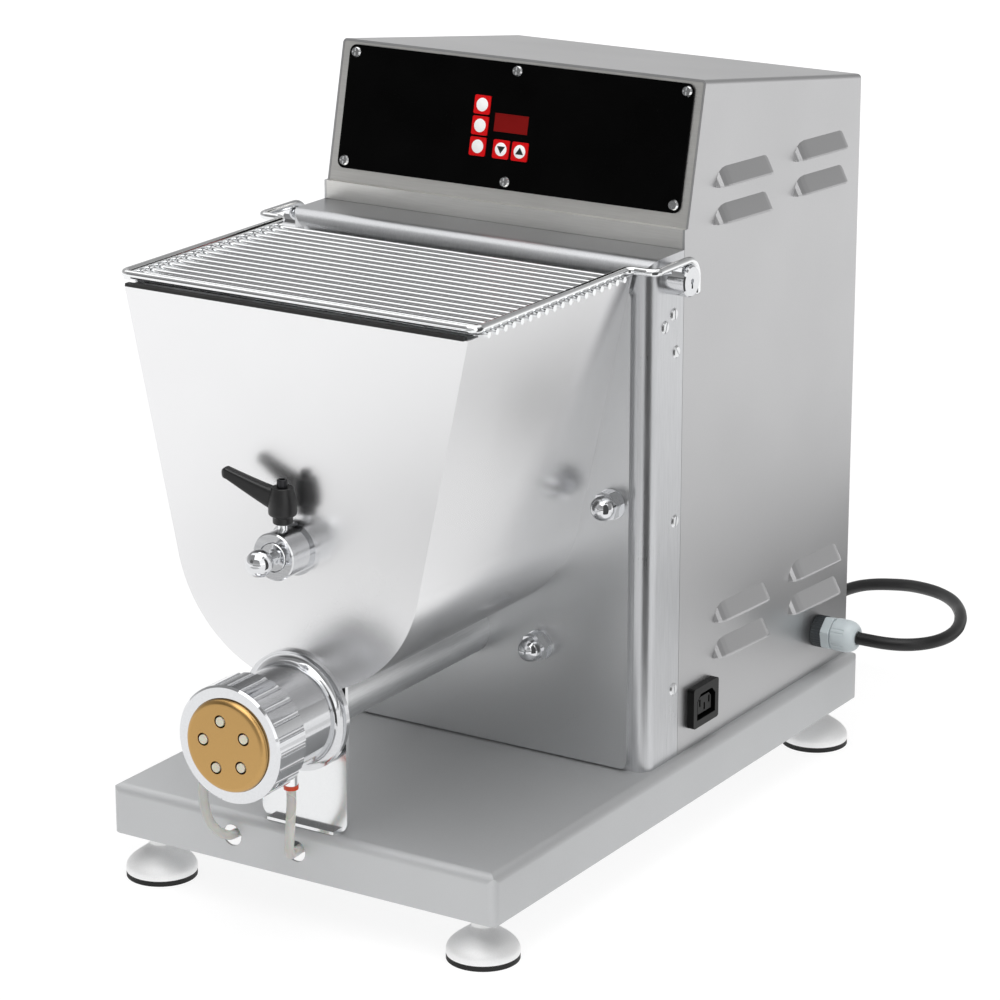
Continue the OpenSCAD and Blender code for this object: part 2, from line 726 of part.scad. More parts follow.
module ring_nut() color("gainsboro") difference() {
    face_y = die_seat_y - die_flange_t - lip_t;
    turned(face_y, auger_z) difference() {
        c = 1.2;
        polygon([[die_r + 0.3, 0], [nut_r - c, 0], [nut_r, c], [nut_r, nut_l - c], [nut_r - c, nut_l],
            [barrel_r + 0.1, nut_l], [barrel_r + 0.1, lip_t - slip], [die_r + 0.3, lip_t - slip]]);
    }
    for (i = [0:nut_grooves - 1])
        translate([0, face_y + 2, auger_z]) rotate([0, i * 360 / nut_grooves, 0])
            translate([nut_r + 0.4, 0, 0]) rotate([-90, 0, 0]) cylinder(r = 1.9, h = nut_l, $fn = 16);
}

function die_hole_at(i) = let (a = 101 + i * 360 / die_holes) die_circle * [cos(a), sin(a)];
module die() color("darkgoldenrod") difference() {
    rim = 3.5;
    face_y = die_seat_y - die_t;
    turned(face_y, auger_z) {
        translate([0, 0]) square([die_r - rim, die_t]);
        translate([0, rim]) square([die_r, die_t - rim]);
        intersection() {
            translate([die_r - rim, rim]) circle(r = rim);
            square([die_r, die_t]);
        }
        translate([0, die_t - die_flange_t]) square([barrel_r - 0.5, die_flange_t]);
    }
    for (i = [0:die_holes - 1])
        translate([die_hole_at(i)[0], face_y - eps, auger_z + die_hole_at(i)[1]]) rotate([-90, 0, 0])
            cylinder(r = 4.1, h = die_t + 2 * eps, $fn = 32);
}
// Centre pins of the die holes, each held by three ribs at the back
module die_inserts() color("ivory") for (i = [0:die_holes - 1])
    translate([die_hole_at(i)[0], die_seat_y - die_t - 0.3, auger_z + die_hole_at(i)[1]])
        rotate([-90, 0, 0]) {
            cylinder(r = 2.9, h = die_t + 0.3, $fn = 32);
            intersection() {
                translate([0, 0, die_t - 3]) cylinder(r = 4.08, h = 3, $fn = 32);
                for (k = [0:2])
                    rotate(k * 120) translate([0, -0.6, 0]) cube([6, 1.2, 20]);
            }
        }

// Cooling nipples screwed in the barrel, one pointing down and one to the left
left_fitting_turn = -110;
module on_barrel(x, turn) {
    translate([x, -262, auger_z]) rotate([0, turn, 0]) children();
}
module hose_fittings() color("whitesmoke") {
    difference() {
        union() {
            on_barrel(12, 180) translate([0, 0, 20]) cylinder(r = 4.2, h = 18.5);
            on_barrel(0, left_fitting_turn) translate([0, 0, 25]) cylinder(r = 4.2, h = 15);
        }
        bar_y(-270, auger_z, barrel_r, 20);
    }
}
module hose_collars() color("orangered") {
    on_barrel(12, 180) translate([0, 0, 38.5]) cylinder(r = 4.6, h = 2.6);
    on_barrel(0, left_fitting_turn) translate([0, 0, 40]) cylinder(r = 4.6, h = 2.6);
}
module hose_left() color("ivory") swept(hose_left_path, hose_r, 10);
module hose_right() color("ivory") swept(hose_right_path, hose_r, 10);
// Block under the base top where both hoses end
module hose_manifold() color("dimgray") translate([-62, -215, 40])
    cube([73, 18, base_top - sheet - 40]);

// ---------------------------------------------------------------- drive

module auger() color("gainsboro") {
    tip_y = die_seat_y + chamber_d + 3;
    rear_y = gear_y + gear_t + 4;
    flight_l = plate_y - 3 - tip_y;
    turns = flight_l / flight_pitch;
    bar_y(tip_y, auger_z, auger_core_r, rear_y - tip_y);
    translate([0, plate_y - 3, auger_z]) rotate([90, 0, 0])
        linear_extrude(height = flight_l, twist = -360 * turns, slices = ceil(turns * 24),
            convexity = 10, $fn = 4)
            polygon([[auger_core_r - 2, -2.6], [bore_r - 0.6, -1.8], [bore_r - 0.4, 0],
                [bore_r - 0.6, 1.8], [auger_core_r - 2, 2.6]]);
}
module auger_gear() color("slategray")
    translate([0, gear_y, auger_z]) gear(auger_teeth, auger_core_r, -90);

paddle_count = 5;
module mixer_shaft() color("gainsboro") {
    front = hopper_y + 6;
    rear = gear_y + gear_t + 4;
    difference() {
        bar_y(front, mixer_z, shaft_r, rear - front);
        bar_y(front - eps, mixer_z, pin_r + slip, pin_in + 2 + eps);
    }
    // Arms set round the shaft, each with a pitched blade that sweeps the trough
    for (i = [0:paddle_count - 1])
        translate([0, front + 22 + i * 32, mixer_z]) rotate([0, 72 * i + 20, 0]) {
            cylinder(r = 5, h = paddle_r - 14, $fn = 32);
            translate([0, 0, paddle_r - 20]) rotate(35) translate([-3, -19, 0]) cube([6, 38, 16]);
        }
}
module mixer_gear() color("slategray")
    translate([0, gear_y, mixer_z]) gear(mixer_teeth, shaft_r, 90 + 180 / mixer_teeth);

// Turn of the pinion that puts a gap of it on the tooth of the mixer gear facing it
pinion_line = atan2(pinion_z - mixer_z, pinion_x);
function pinion_turn() =
    let (step = 360 / mixer_teeth,
        off = -pinion_line - (90 + step / 2),
        lag = off - step * round(off / step))
    180 - pinion_line + lag * mixer_teeth / pinion_teeth + 180 / pinion_teeth;
module drive_pinion() color("slategray") {
    translate([pinion_x, gear_y, pinion_z]) gear(pinion_teeth, 5, pinion_turn());
    translate([pinion_x, gear_y - 3, pinion_z]) rotate([-90, 0, 0])
        cylinder(r = 6, h = motor_y - gear_y + 3 + 12);
}

// Flange-mounted gear motor: cast gear case on three lugs, finned motor, fan cowl
module gear_motor() color("steelblue") {
    case_w = 110;
    case_d = 46;
    lug_r = 8;
    difference() {
        union() {
            translate([pinion_x, motor_y, pinion_z + 2]) rotate([-90, 0, 0])
                linear_extrude(case_d) round_rect(case_w, 108, 12);
            for (p = [[50, -20], [50, 47], [-50, 47]])
                translate([pinion_x + p[0], drive_y + drive_t, pinion_z + p[1]]) rotate([-90, 0, 0])
                    cylinder(r = lug_r, h = motor_y - drive_y - drive_t + 5);
        }
        translate([pinion_x, motor_y - eps, pinion_z]) rotate([-90, 0, 0])
            cylinder(r = 6 + slip, h = 12.5 + eps);
    }
    translate([pinion_x, motor_y + case_d, pinion_z]) rotate([-90, 0, 0]) {
        cylinder(r = 48, h = 120);
        for (a = [0:15:345])
            rotate(a) translate([46, -1.2, 6]) cube([8, 2.4, 100]);
        translate([0, 0, 120]) cylinder(r1 = 54, r2 = 50, h = 30);
    }
}

// ---------------------------------------------------------------- front bearing

module bearing_hub() color("gainsboro") difference() {
    l = hopper_y - hub_y;
    turned(hub_y, mixer_z) polygon([[8 + slip, 2.5], [9.6, 2.5], [9.6, 0], [hub_r - 0.8, 0],
        [hub_r, 0.8], [hub_r, l - 3], [hub_r + 2, l - 3], [hub_r + 2, l], [8 + slip, l]]);
    translate([0, stud_y, stud_z]) cylinder(r = 3 + slip, h = 20);
}
module hub_bush() color("peru") difference() {
    bar_y(hub_y + 2.5, mixer_z, 8, hopper_y - hub_y - 2.5);
    bar_y(hub_y, mixer_z, pin_r + slip, 30);
    translate([0, stud_y, stud_z]) cylinder(r = 3 + slip, h = 20);
}
module pull_pin() color("gainsboro") {
    collar_y = hub_y + 2.4;
    bar_y(collar_y, mixer_z, pin_r, hopper_y + 6 + pin_in - collar_y);
    turned(collar_y - 4, mixer_z) polygon([[0, 0], [5, 0], [5, 1.2], [8.6, 1.2], [9, 1.8], [9, 4], [0, 4]]);
    bar_y(ball_y, mixer_z, 3.2, collar_y - 3 - ball_y);
    translate([0, ball_y, mixer_z]) sphere(r = ball_r);
}
module clamp_stud() color("gainsboro") translate([0, stud_y, stud_z])
    cylinder(r = 3, h = lever_z - stud_z);
module clamp_lever() color([0.06, 0.06, 0.06]) translate([0, stud_y, lever_z]) {
    rotate_extrude() polygon([[0, 0], [5.4, 0], [6.2, 1], [6.2, 5.4], [8.3, 6], [8.7, 7], [8.7, 16],
        [6.4, 23], [0, 23]]);
    difference() {
        translate([0, 0, 23]) cylinder(r = 3.3, h = 5);
        translate([0, 0, 25.6]) cylinder(r = 1.8, h = 4, $fn = 6);
    }
    rotate(180 - lever_turn) hull() {
        translate([3, -4, 9]) cube([1, 8, 13]);
        translate([36.5, 0, 28]) sphere(r = 3.6, $fn = hull_fn);
        translate([36, -2, 27]) cube([2, 4, 5]);
    }
}

// ---------------------------------------------------------------- guard

// Frame coordinates: from the middle of the front rod, y along the side rods
module in_lid() translate([0, lid_y, lid_z]) children();
module bend(r, angle) {
    rotate_extrude(angle = angle) translate([r, 0]) circle(r = rod_r, $fn = 24);
}
module lid_frame() color("gainsboro") {
    x = lid_w / 2;
    in_lid() {
        rod([-x + bend_r, 0, 0], [x - bend_r, 0, 0], rod_r);
        for (s = [0, 1]) mirror([s, 0, 0]) {
            translate([x - bend_r, bend_r, 0]) rotate(-90) bend(bend_r, 90);
            rod([x, bend_r, 0], [x, lid_l - bend_r, 0], rod_r);
            translate([x + bend_r, lid_l - bend_r, 0]) rotate(90) bend(bend_r, 90);
            rod([x + bend_r, lid_l, 0], [hook_x - bend_r, lid_l, 0], rod_r);
            translate([hook_x - bend_r, lid_l + bend_r, 0]) rotate(-90) bend(bend_r, 90);
            rod([hook_x, lid_l + bend_r, 0], [hook_x, pivot_y - lid_y, 0], rod_r);
        }
    }
    // Hooks over the bosses, each with a straight tail behind it
    for (s = [-1, 1]) translate([s * hook_x, pivot_y, pivot_z]) {
        rotate([90, 0, 90]) bend(hook_r, 90);
        rod([0, hook_r, 0], [0, hook_r, -9], rod_r);
        translate([0, hook_r, -9]) sphere(r = rod_r, $fn = 24);
    }
}
module lid_bars() color("gainsboro") in_lid() {
    first = 8.5;
    step = (lid_l - first - 9) / (bar_count - 1);
    x = lid_w / 2 + 3.5;
    for (i = [0:bar_count - 1])
        rod([-x, first + i * step, -bar_drop], [x, first + i * step, -bar_drop], bar_r);
}
module hinge_bosses() color("gainsboro") for (s = [-1, 1])
    translate([s * boss_x, pivot_y, pivot_z]) rotate([0, s * 90, 0]) difference() {
        union() {
            cylinder(r = boss_r, h = boss_l - 1);
            translate([0, 0, boss_l - 1]) cylinder(r1 = boss_r, r2 = boss_r - 0.8, h = 1);
            translate([0, 0, -8]) cylinder(r = 4, h = 8);
            translate([0, 0, -sheet - 5]) cylinder(r = 7, h = 5 - slip);
        }
        translate([0, 0, boss_l - 2]) cylinder(r = 1.8, h = 4);
        translate([0, -0.9, boss_l - 2]) cube([4.6, 1.8, 4]);
    }

// ---------------------------------------------------------------- mains parts

// Snap-in outlet: flange, deep ring and a core with three slots
module outlet_outline(w, h, c) {
    polygon([[-w / 2, -h / 2], [w / 2, -h / 2], [w / 2, h / 2 - c], [w / 2 - c, h / 2],
        [-w / 2 + c, h / 2], [-w / 2, h / 2 - c]]);
}
module appliance_outlet() color([0.1, 0.1, 0.1])
    translate([body_w / 2, outlet_y, outlet_z]) rotate([90, 0, 90]) {
        difference() {
            union() {
                linear_extrude(5) round_rect(33, 27.5, 2);
                translate([0, 0, -22]) linear_extrude(22) square([27.6, 21.2], center = true);
            }
            translate([0, 0, -12]) linear_extrude(20) outlet_outline(24, 17.5, 4.5);
        }
        difference() {
            translate([0, 0, -12.5]) linear_extrude(16) outlet_outline(17.6, 11.4, 3);
            for (p = [[-6, 1.4], [6, 1.4], [0, -2]])
                translate([p[0], p[1], -4]) linear_extrude(10) square([1.8, 5], center = true);
        }
    }

module on_gland(x) translate([body_w / 2 + x, gland_y, gland_z]) rotate([0, 90, 0]) children();
module gland_washer() color([0.08, 0.08, 0.08]) difference() {
    on_gland(0) cylinder(r = 10.7, h = 4.5);
    on_gland(-eps) cylinder(r = 8 + slip, h = 8);
}
module cable_gland() color("slategray") {
    on_gland(-9) cylinder(r = 8, h = 14);
    on_gland(-8) cylinder(r = 11.5, h = 8 - sheet, $fn = 6);
    on_gland(4.5) rotate(15) cylinder(r = 12.2, h = 6, $fn = 6);
    on_gland(10.5) cylinder(r = 10, h = 2);
    on_gland(12.5) cylinder(r = 11.2, h = 10);
    for (a = [0:30:330])
        on_gland(12.5) rotate(a) translate([10.4, -1.2, 0]) cube([1.6, 2.4, 9.5]);
    on_gland(22.5) intersection() {
        cylinder(r = 11.2, h = gland_l - 22.5);
        translate([0, 0, -1.3]) sphere(r = 11.3);
    }
}

module power_cord() color([0.05, 0.05, 0.05]) {
    swept(cord_path, cord_r, 8);
    swept(tail_path, cord_r, 8);
}
module cord_coil() color([0.05, 0.05, 0.05]) translate([coil_at[0], coil_at[1], 0]) rotate_extrude()
    translate([coil_mid_r - coil_w / 2, 0]) {
        translate([cord_r, 0]) square([coil_w - 2 * cord_r, coil_w]);
        translate([0, cord_r]) square([coil_w, coil_w - 2 * cord_r]);
        for (x = [cord_r, coil_w - cord_r], z = [cord_r, coil_w - cord_r])
            translate([x, z]) circle(r = cord_r, $fn = 24);
    }
// Moulded two-pin plug lying on its side
module mains_plug() color([0.07, 0.07, 0.07]) translate([plug_at[0], plug_at[1], plug_r])
    rotate([0, 90, 0]) {
    cylinder(r1 = 6, r2 = 8, h = 16);
    translate([0, 0, 16]) cylinder(r1 = 11, r2 = plug_r, h = 8);
    translate([0, 0, 24]) cylinder(r = plug_r, h = 18);
    for (s = [-1, 1])
        translate([0, s * 9.5, 42]) cylinder(r = 2.4, h = 19, $fn = 24);
}

base_pan();
foot_fl();
foot_fr();
foot_rl();
foot_rr();
pad_fl();
pad_fr();
pad_rl();
pad_rr();
front_frame();
body_cover();
rear_panel();
fascia_panel();
control_overlay();
display_window();
key_start();
key_pause();
key_stop();
key_down();
key_up();
control_board();
panel_screws();
housing_screws();
back_plate();
drive_plate();
acorn_nuts();
shaft_bushes();
hopper();
rim_seal();
extruder_tube();
head_bracket();
head_barrel();
ring_nut();
die();
die_inserts();
hose_fittings();
hose_collars();
hose_left();
hose_right();
hose_manifold();
auger();
auger_gear();
mixer_shaft();
mixer_gear();
gear_motor();
drive_pinion();
bearing_hub();
hub_bush();
pull_pin();
clamp_lever();
clamp_stud();
lid_frame();
lid_bars();
hinge_bosses();
appliance_outlet();
gland_washer();
cable_gland();
power_cord();
cord_coil();
mains_plug();
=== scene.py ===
"""Studio scene of a counter-top pasta extruder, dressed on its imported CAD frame. Lengths are metres."""
import logging
import math
from dataclasses import dataclass
from enum import Enum
from typing import Any, Callable, Sequence

import bpy
import numpy as np
from numpy.typing import NDArray
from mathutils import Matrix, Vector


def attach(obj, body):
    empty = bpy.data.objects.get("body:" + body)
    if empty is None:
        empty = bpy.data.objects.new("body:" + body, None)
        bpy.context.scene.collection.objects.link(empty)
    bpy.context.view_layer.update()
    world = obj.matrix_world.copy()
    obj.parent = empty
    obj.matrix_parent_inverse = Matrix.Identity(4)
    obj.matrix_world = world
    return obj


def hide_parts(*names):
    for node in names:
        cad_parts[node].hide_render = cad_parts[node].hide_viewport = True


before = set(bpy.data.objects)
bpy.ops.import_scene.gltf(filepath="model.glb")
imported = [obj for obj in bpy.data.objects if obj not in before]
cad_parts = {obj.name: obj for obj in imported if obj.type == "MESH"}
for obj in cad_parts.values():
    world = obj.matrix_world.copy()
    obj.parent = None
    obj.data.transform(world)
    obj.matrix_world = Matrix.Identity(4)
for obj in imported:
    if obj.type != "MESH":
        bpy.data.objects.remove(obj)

LOG = logging.getLogger("pasta_extruder")
MM = 0.001  # one millimetre, in metres
Points = NDArray[np.float64]
Pairs = Sequence[tuple[float, float]]
Triple = tuple[float, float, float]
Colour = tuple[float, float, float, float]
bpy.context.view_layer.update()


# -------------------- colour and node helpers


def linear(code: str) -> Colour:
    """Turns an sRGB hex colour into linear light by the sRGB curve.

    Args:
        code: six hex digits, with or without a leading hash.

    Returns:
        Linear red, green, blue and an alpha of one.
    """
    srgb = np.array([int(code.lstrip("#")[i : i + 2], 16) for i in (0, 2, 4)]) / 255.0
    lin = np.where(srgb <= 0.04045, srgb / 12.92, ((srgb + 0.055) / 1.055) ** 2.4)
    return (float(lin[0]), float(lin[1]), float(lin[2]), 1.0)


def shade(code: str, factor: float) -> Colour:
    """Turns a hex colour into linear light, multiplied by a factor and held at one."""
    r, g, b, alpha = linear(code)
    return (min(r * factor, 1.0), min(g * factor, 1.0), min(b * factor, 1.0), alpha)


def add_node(
    tree: bpy.types.NodeTree,
    kind: str,
    links: dict[Any, Any] | None = None,
    stops: Sequence[tuple[float, Colour]] = (),
    **settings: Any,
) -> bpy.types.Node:
    """Adds one shader node with its settings and its links.

    Args:
        tree: the node tree that takes the node.
        kind: the node's type name without its ShaderNode prefix.
        links: input name or index to an output socket, or to a plain value.
        stops: position and linear colour of each stop of a colour ramp, in rising order.
        settings: attributes of the node, such as operation or blend_type.

    Returns:
        The new node.
    """
    made = tree.nodes.new("ShaderNode" + kind)
    for name, value in settings.items():
        setattr(made, name, value)
    for _ in stops[2:]:
        made.color_ramp.elements.new(0.5)
    for number, (place, colour) in enumerate(stops):
        made.color_ramp.elements[number].position = place
        made.color_ramp.elements[number].color = colour
    for name, value in (links or {}).items():
        if isinstance(value, bpy.types.NodeSocket):
            tree.links.new(value, made.inputs[name])
        else:
            made.inputs[name].default_value = value
    return made


def new_material(
    name: str, constants: dict[str, Any] | None = None
) -> tuple[bpy.types.Material, bpy.types.NodeTree, bpy.types.Node]:
    """Makes a material and sets the constants of its surface shader.

    Args:
        name: what the real material and its finish are called.
        constants: input name to value.

    Returns:
        The material, its node tree and its Principled shader.
    """
    mat = bpy.data.materials.new(name)
    mat.use_nodes = True
    shader = mat.node_tree.nodes["Principled BSDF"]
    for key, value in (constants or {}).items():
        shader.inputs[key].default_value = value
    return mat, mat.node_tree, shader


# -------------------- finishes

# Noise seldom leaves 0.3 to 0.7, so that range fills the span that a map gives it.
NOISE_RANGE = {1: 0.3, 2: 0.7}
TONE_LOW, TONE_HIGH = 0.35, 0.65  # the noise levels that give a finish its darkest and lightest tone
METAL_CLOUDS, MOULDED_CLOUDS = 14.0, 30.0  # per metre: slow changes about 70 mm and 33 mm wide


class Grain(Enum):
    """Which way a metal's surface marks run: the noise is 25 times as long that way."""

    ALONG_X = (0.04, 1.0, 1.0)
    ALONG_Y = (1.0, 0.04, 1.0)
    ALONG_Z = (1.0, 1.0, 0.04)
    EVEN = (1.0, 1.0, 1.0)


@dataclass(frozen=True)
class Metal:
    """A bare or plated metal. Marks are stretched noise, and spacing is their width in millimetres.

    Real marks are 0.05 to 0.3 mm wide. They are drawn 0.6 mm wide and wider, so that they show.
    """

    name: str
    colour: str
    rough: float
    grain: Grain
    spacing: float
    bump: float
    tone: float
    wear: float

    def build(self) -> bpy.types.Material:
        """Makes the material: fine marks move roughness, colour and surface, a slow cloud moves the polish.

        Returns:
            The new material.
        """
        mat, tree, shader = new_material(self.name, {"Metallic": 1.0})
        place = add_node(tree, "TexCoord").outputs["Object"]
        lines = add_node(tree, "Mapping", {"Vector": place, "Scale": self.grain.value}).outputs[0]
        streaks = {"Vector": lines, "Scale": 1.0 / (self.spacing * MM), "Detail": 3.0, "Roughness": 0.6}
        marks = add_node(tree, "TexNoise", streaks).outputs[0]
        cloud = add_node(tree, "TexNoise", {"Vector": place, "Scale": METAL_CLOUDS, "Detail": 2.0}).outputs[0]
        dark, light = shade(self.colour, 1 - self.tone), shade(self.colour, 1 + self.tone)
        tones = add_node(tree, "ValToRGB", {0: marks}, [(TONE_LOW, dark), (TONE_HIGH, light)])
        tree.links.new(tones.outputs[0], shader.inputs["Base Color"])
        half = self.wear * 0.5
        fine = add_node(tree, "MapRange", {0: marks, **NOISE_RANGE, 3: -half, 4: half}).outputs[0]
        span = {3: self.rough - half, 4: self.rough + self.wear}
        slow = add_node(tree, "MapRange", {0: cloud, **NOISE_RANGE, **span}).outputs[0]
        total = add_node(tree, "Math", {0: fine, 1: slow}, operation="ADD", use_clamp=True)
        tree.links.new(total.outputs[0], shader.inputs["Roughness"])
        relief = add_node(tree, "Bump", {"Strength": self.bump, "Distance": 0.2 * MM, "Height": marks})
        tree.links.new(relief.outputs[0], shader.inputs["Normal"])
        return mat


@dataclass(frozen=True)
class Moulded:
    """A moulded polymer, rubber, film or paint: grain is the pebble size in millimetres."""

    name: str
    colour: str
    rough: float
    grain: float
    bump: float
    ior: float = 1.5
    clear: float = 0.0
    translucency: float = 0.0

    def build(self) -> bpy.types.Material:
        """Makes the material: a fine pebble in relief and a slow change of gloss.

        Returns:
            The new material.
        """
        constants = {
            "IOR": self.ior, "Transmission Weight": self.clear, "Subsurface Weight": self.translucency,
            "Subsurface Scale": 2 * MM,
        }
        mat, tree, shader = new_material(self.name, constants)
        place = add_node(tree, "TexCoord").outputs["Object"]
        pebbles = {"Vector": place, "Scale": 1.0 / (self.grain * MM), "Detail": 2.0}
        pebble = add_node(tree, "TexNoise", pebbles).outputs[0]
        clouds = {"Vector": place, "Scale": MOULDED_CLOUDS, "Detail": 2.0}
        cloud = add_node(tree, "TexNoise", clouds).outputs[0]
        dark, light = shade(self.colour, 0.9), shade(self.colour, 1.08)
        tones = add_node(tree, "ValToRGB", {0: cloud}, [(TONE_LOW, dark), (TONE_HIGH, light)])
        tree.links.new(tones.outputs[0], shader.inputs["Base Color"])
        span = {3: self.rough * 0.85, 4: min(self.rough * 1.15, 1.0)}
        gloss = add_node(tree, "MapRange", {0: cloud, **NOISE_RANGE, **span})
        tree.links.new(gloss.outputs[0], shader.inputs["Roughness"])
        relief = add_node(tree, "Bump", {"Strength": self.bump, "Distance": 0.1 * MM, "Height": pebble})
        tree.links.new(relief.outputs[0], shader.inputs["Normal"])
        return mat


Finish = Metal | Moulded

# Satin finish: soft, broad reflections with short fine marks.
SATIN_SHEET = Metal("satin stainless sheet", "#bfbfc0", 0.34, Grain.EVEN, 0.7, 0.015, 0.02, 0.03)
# Fine blasting: nearly matt, an even grey that mirrors nothing clearly.
BASE_SHEET = Metal("fine-blasted stainless base", "#d2d3d4", 0.66, Grain.EVEN, 0.6, 0.015, 0.02, 0.03)
# Brushing along its width: a sheen with faint lines from side to side.
FASCIA_SHEET = Metal("brushed stainless fascia", "#dbdad7", 0.34, Grain.ALONG_X, 0.8, 0.02, 0.03, 0.04)
# Linishing: faint upright lines, and long soft streaks of light on the folds.
FRAME_SHEET = Metal("linished stainless frame", "#c6c7c9", 0.3, Grain.ALONG_Z, 0.9, 0.04, 0.05, 0.05)
# Satin polish: bright, with blurred shapes of what stands close to it.
HOPPER_SHEET = Metal("satin-polished stainless hopper", "#ededee", 0.25, Grain.EVEN, 0.6, 0.01, 0.012, 0.02)
# Plate polish: mid grey, with a soft image of the hopper and the nuts.
POLISHED_PLATE = Metal("polished stainless plate", "#cacbcc", 0.3, Grain.EVEN, 0.8, 0.01, 0.02, 0.03)
# Bracket polish: bright, with a clearer image of the head above it.
BRACKET_STEEL = Metal("polished stainless bracket", "#e6e7e8", 0.16, Grain.EVEN, 0.8, 0.01, 0.02, 0.03)
# Electropolish: thin white lines of light between dark edges.
CHROME_ROD = Metal("bright electropolished rod", "#f0f1f2", 0.1, Grain.EVEN, 1.2, 0.01, 0.02, 0.04)
# Chrome plating: a mirror, with sharp light and dark in every flute.
CHROME_NUT = Metal("bright chrome plate", "#dcdddf", 0.06, Grain.EVEN, 1.2, 0.008, 0.02, 0.03)
# Turning and polishing: a clear image with fine marks across the axis.
TURNED_BARREL = Metal("turned and polished stainless", "#d4d5d7", 0.1, Grain.ALONG_X, 0.8, 0.015, 0.03, 0.04)
# Drawing: one wide soft highlight with fine lines along the tube.
TUBE_STEEL = Metal("drawn stainless tube", "#e6e7e8", 0.36, Grain.ALONG_Y, 0.8, 0.03, 0.05, 0.05)
# Turned bronze: warm yellow, with a soft even sheen.
BRONZE = Metal("turned aluminium bronze", "#c09a62", 0.3, Grain.EVEN, 0.7, 0.02, 0.03, 0.04)
# Sintering: dull brown with fine pores.
SINTERED = Metal("oil-filled sintered bronze", "#9a6b3c", 0.42, Grain.EVEN, 0.7, 0.08, 0.1, 0.06)
# Hobbing under oil: dark grey, with a wet sheen on the teeth.
GEAR_STEEL = Metal("hobbed steel with oil film", "#77797c", 0.3, Grain.ALONG_Y, 0.7, 0.05, 0.08, 0.08)
# A machined casting: pale dull grey with coarse cutter marks.
CAST_ALUMINIUM = Metal("machined cast aluminium", "#b4b6b8", 0.44, Grain.EVEN, 1.5, 0.1, 0.06, 0.06)
# Bead blasting: nearly white and matt, shaded softly like paper.
FOOT_BLASTED = Metal("bead-blasted stainless foot", "#fbfbfb", 0.7, Grain.EVEN, 0.7, 0.015, 0.02, 0.03)
# Fine turning: a clean, slightly blurred highlight round each shaft and screw.
TURNED_STEEL = Metal("turned stainless", "#e6e7e8", 0.3, Grain.EVEN, 0.7, 0.015, 0.02, 0.04)
# Blackening: a dark head with a thin grey highlight.
BLACK_STEEL = Metal("blackened steel screw", "#3a3a3c", 0.34, Grain.EVEN, 0.8, 0.03, 0.05, 0.05)
# Nickel plating: a light mirror with a warm tint.
PIN_BRASS = Metal("nickel-plated brass pin", "#c9c5b6", 0.18, Grain.EVEN, 0.8, 0.02, 0.03, 0.04)

# Anti-glare film: a deep black that gives back almost no light.
OVERLAY_FILM = Moulded("black anti-glare film", "#040404", 0.3, 0.8, 0.01, ior=1.12)
# Tinted window: dark red, as a display without light behind it looks.
DISPLAY_FILM = Moulded("dark red tinted window", "#7a1413", 0.3, 0.8, 0.01, ior=1.12)
# Screen prints: flat and full in colour, with little shine.
KEY_RED = Moulded("red screen-printed key", "#d00d12", 0.4, 0.7, 0.03, ior=1.2)
KEY_WHITE = Moulded("white screen print", "#fafaf8", 0.36, 0.7, 0.02)
KEY_BLACK = Moulded("black screen print", "#0b0b0b", 0.4, 0.7, 0.02)
# Glass-filled nylon: black, its pebble breaking up the highlight.
LEVER_NYLON = Moulded("black glass-filled nylon", "#0d0d0e", 0.4, 0.7, 0.12)
# Ribbed rubber: dark grey and dull.
RING_RUBBER = Moulded("dark grey ribbed ring", "#3b3f42", 0.5, 0.7, 0.05)
# Moulded nylon: black, with a weak sheen on the edges.
OUTLET_NYLON = Moulded("black moulded nylon", "#070707", 0.3, 0.8, 0.03, ior=1.3)
# Polyamide: pale bluish grey with a soft shine.
GLAND_NYLON = Moulded("grey moulded polyamide", "#ccd5d8", 0.34, 0.7, 0.04)
# A dull black: a strip along the hopper's front rim below the grid, where a dark line shows under the front
# rod, and the gland's washer.
DULL_BLACK = Moulded("dull black rim strip and gland washer", "#0c0c0c", 0.55, 0.8, 0.1)
# Pad rubber: matt black against the floor.
PAD_RUBBER = Moulded("black rubber pad", "#121212", 0.7, 0.9, 0.15)
# Chloroprene: black, with one soft highlight along the cord.
CORD_RUBBER = Moulded("black chloroprene sheath", "#0a0a0b", 0.45, 0.9, 0.08)
# Silicone: milky, light passes some way into it.
HOSE_SILICONE = Moulded(
    "milky silicone hose", "#e9e9e4", 0.3, 1.0, 0.02, ior=1.41, clear=0.25, translucency=0.5
)
# Acetal: clean orange-red with an even gloss.
COLLAR_ORANGE = Moulded("orange-red acetal", "#e2481c", 0.35, 0.8, 0.03)
# PTFE: cream and waxy, with soft edges to its shadows.
INSERT_CREAM = Moulded("cream PTFE", "#e9e3cf", 0.4, 0.6, 0.03, translucency=0.2)
# Stove enamel: grey-blue, with the faint ripple of sprayed paint.
MOTOR_PAINT = Moulded("grey-blue stove enamel", "#3c4a5a", 0.38, 1.4, 0.15)
# Solder resist: an even green gloss.
BOARD_GREEN = Moulded("green solder resist", "#0c4a26", 0.35, 0.8, 0.05)
# Cut acetal: mid grey, smooth and half dull.
MANIFOLD_GREY = Moulded("grey acetal block", "#5b5d5f", 0.4, 0.9, 0.05)

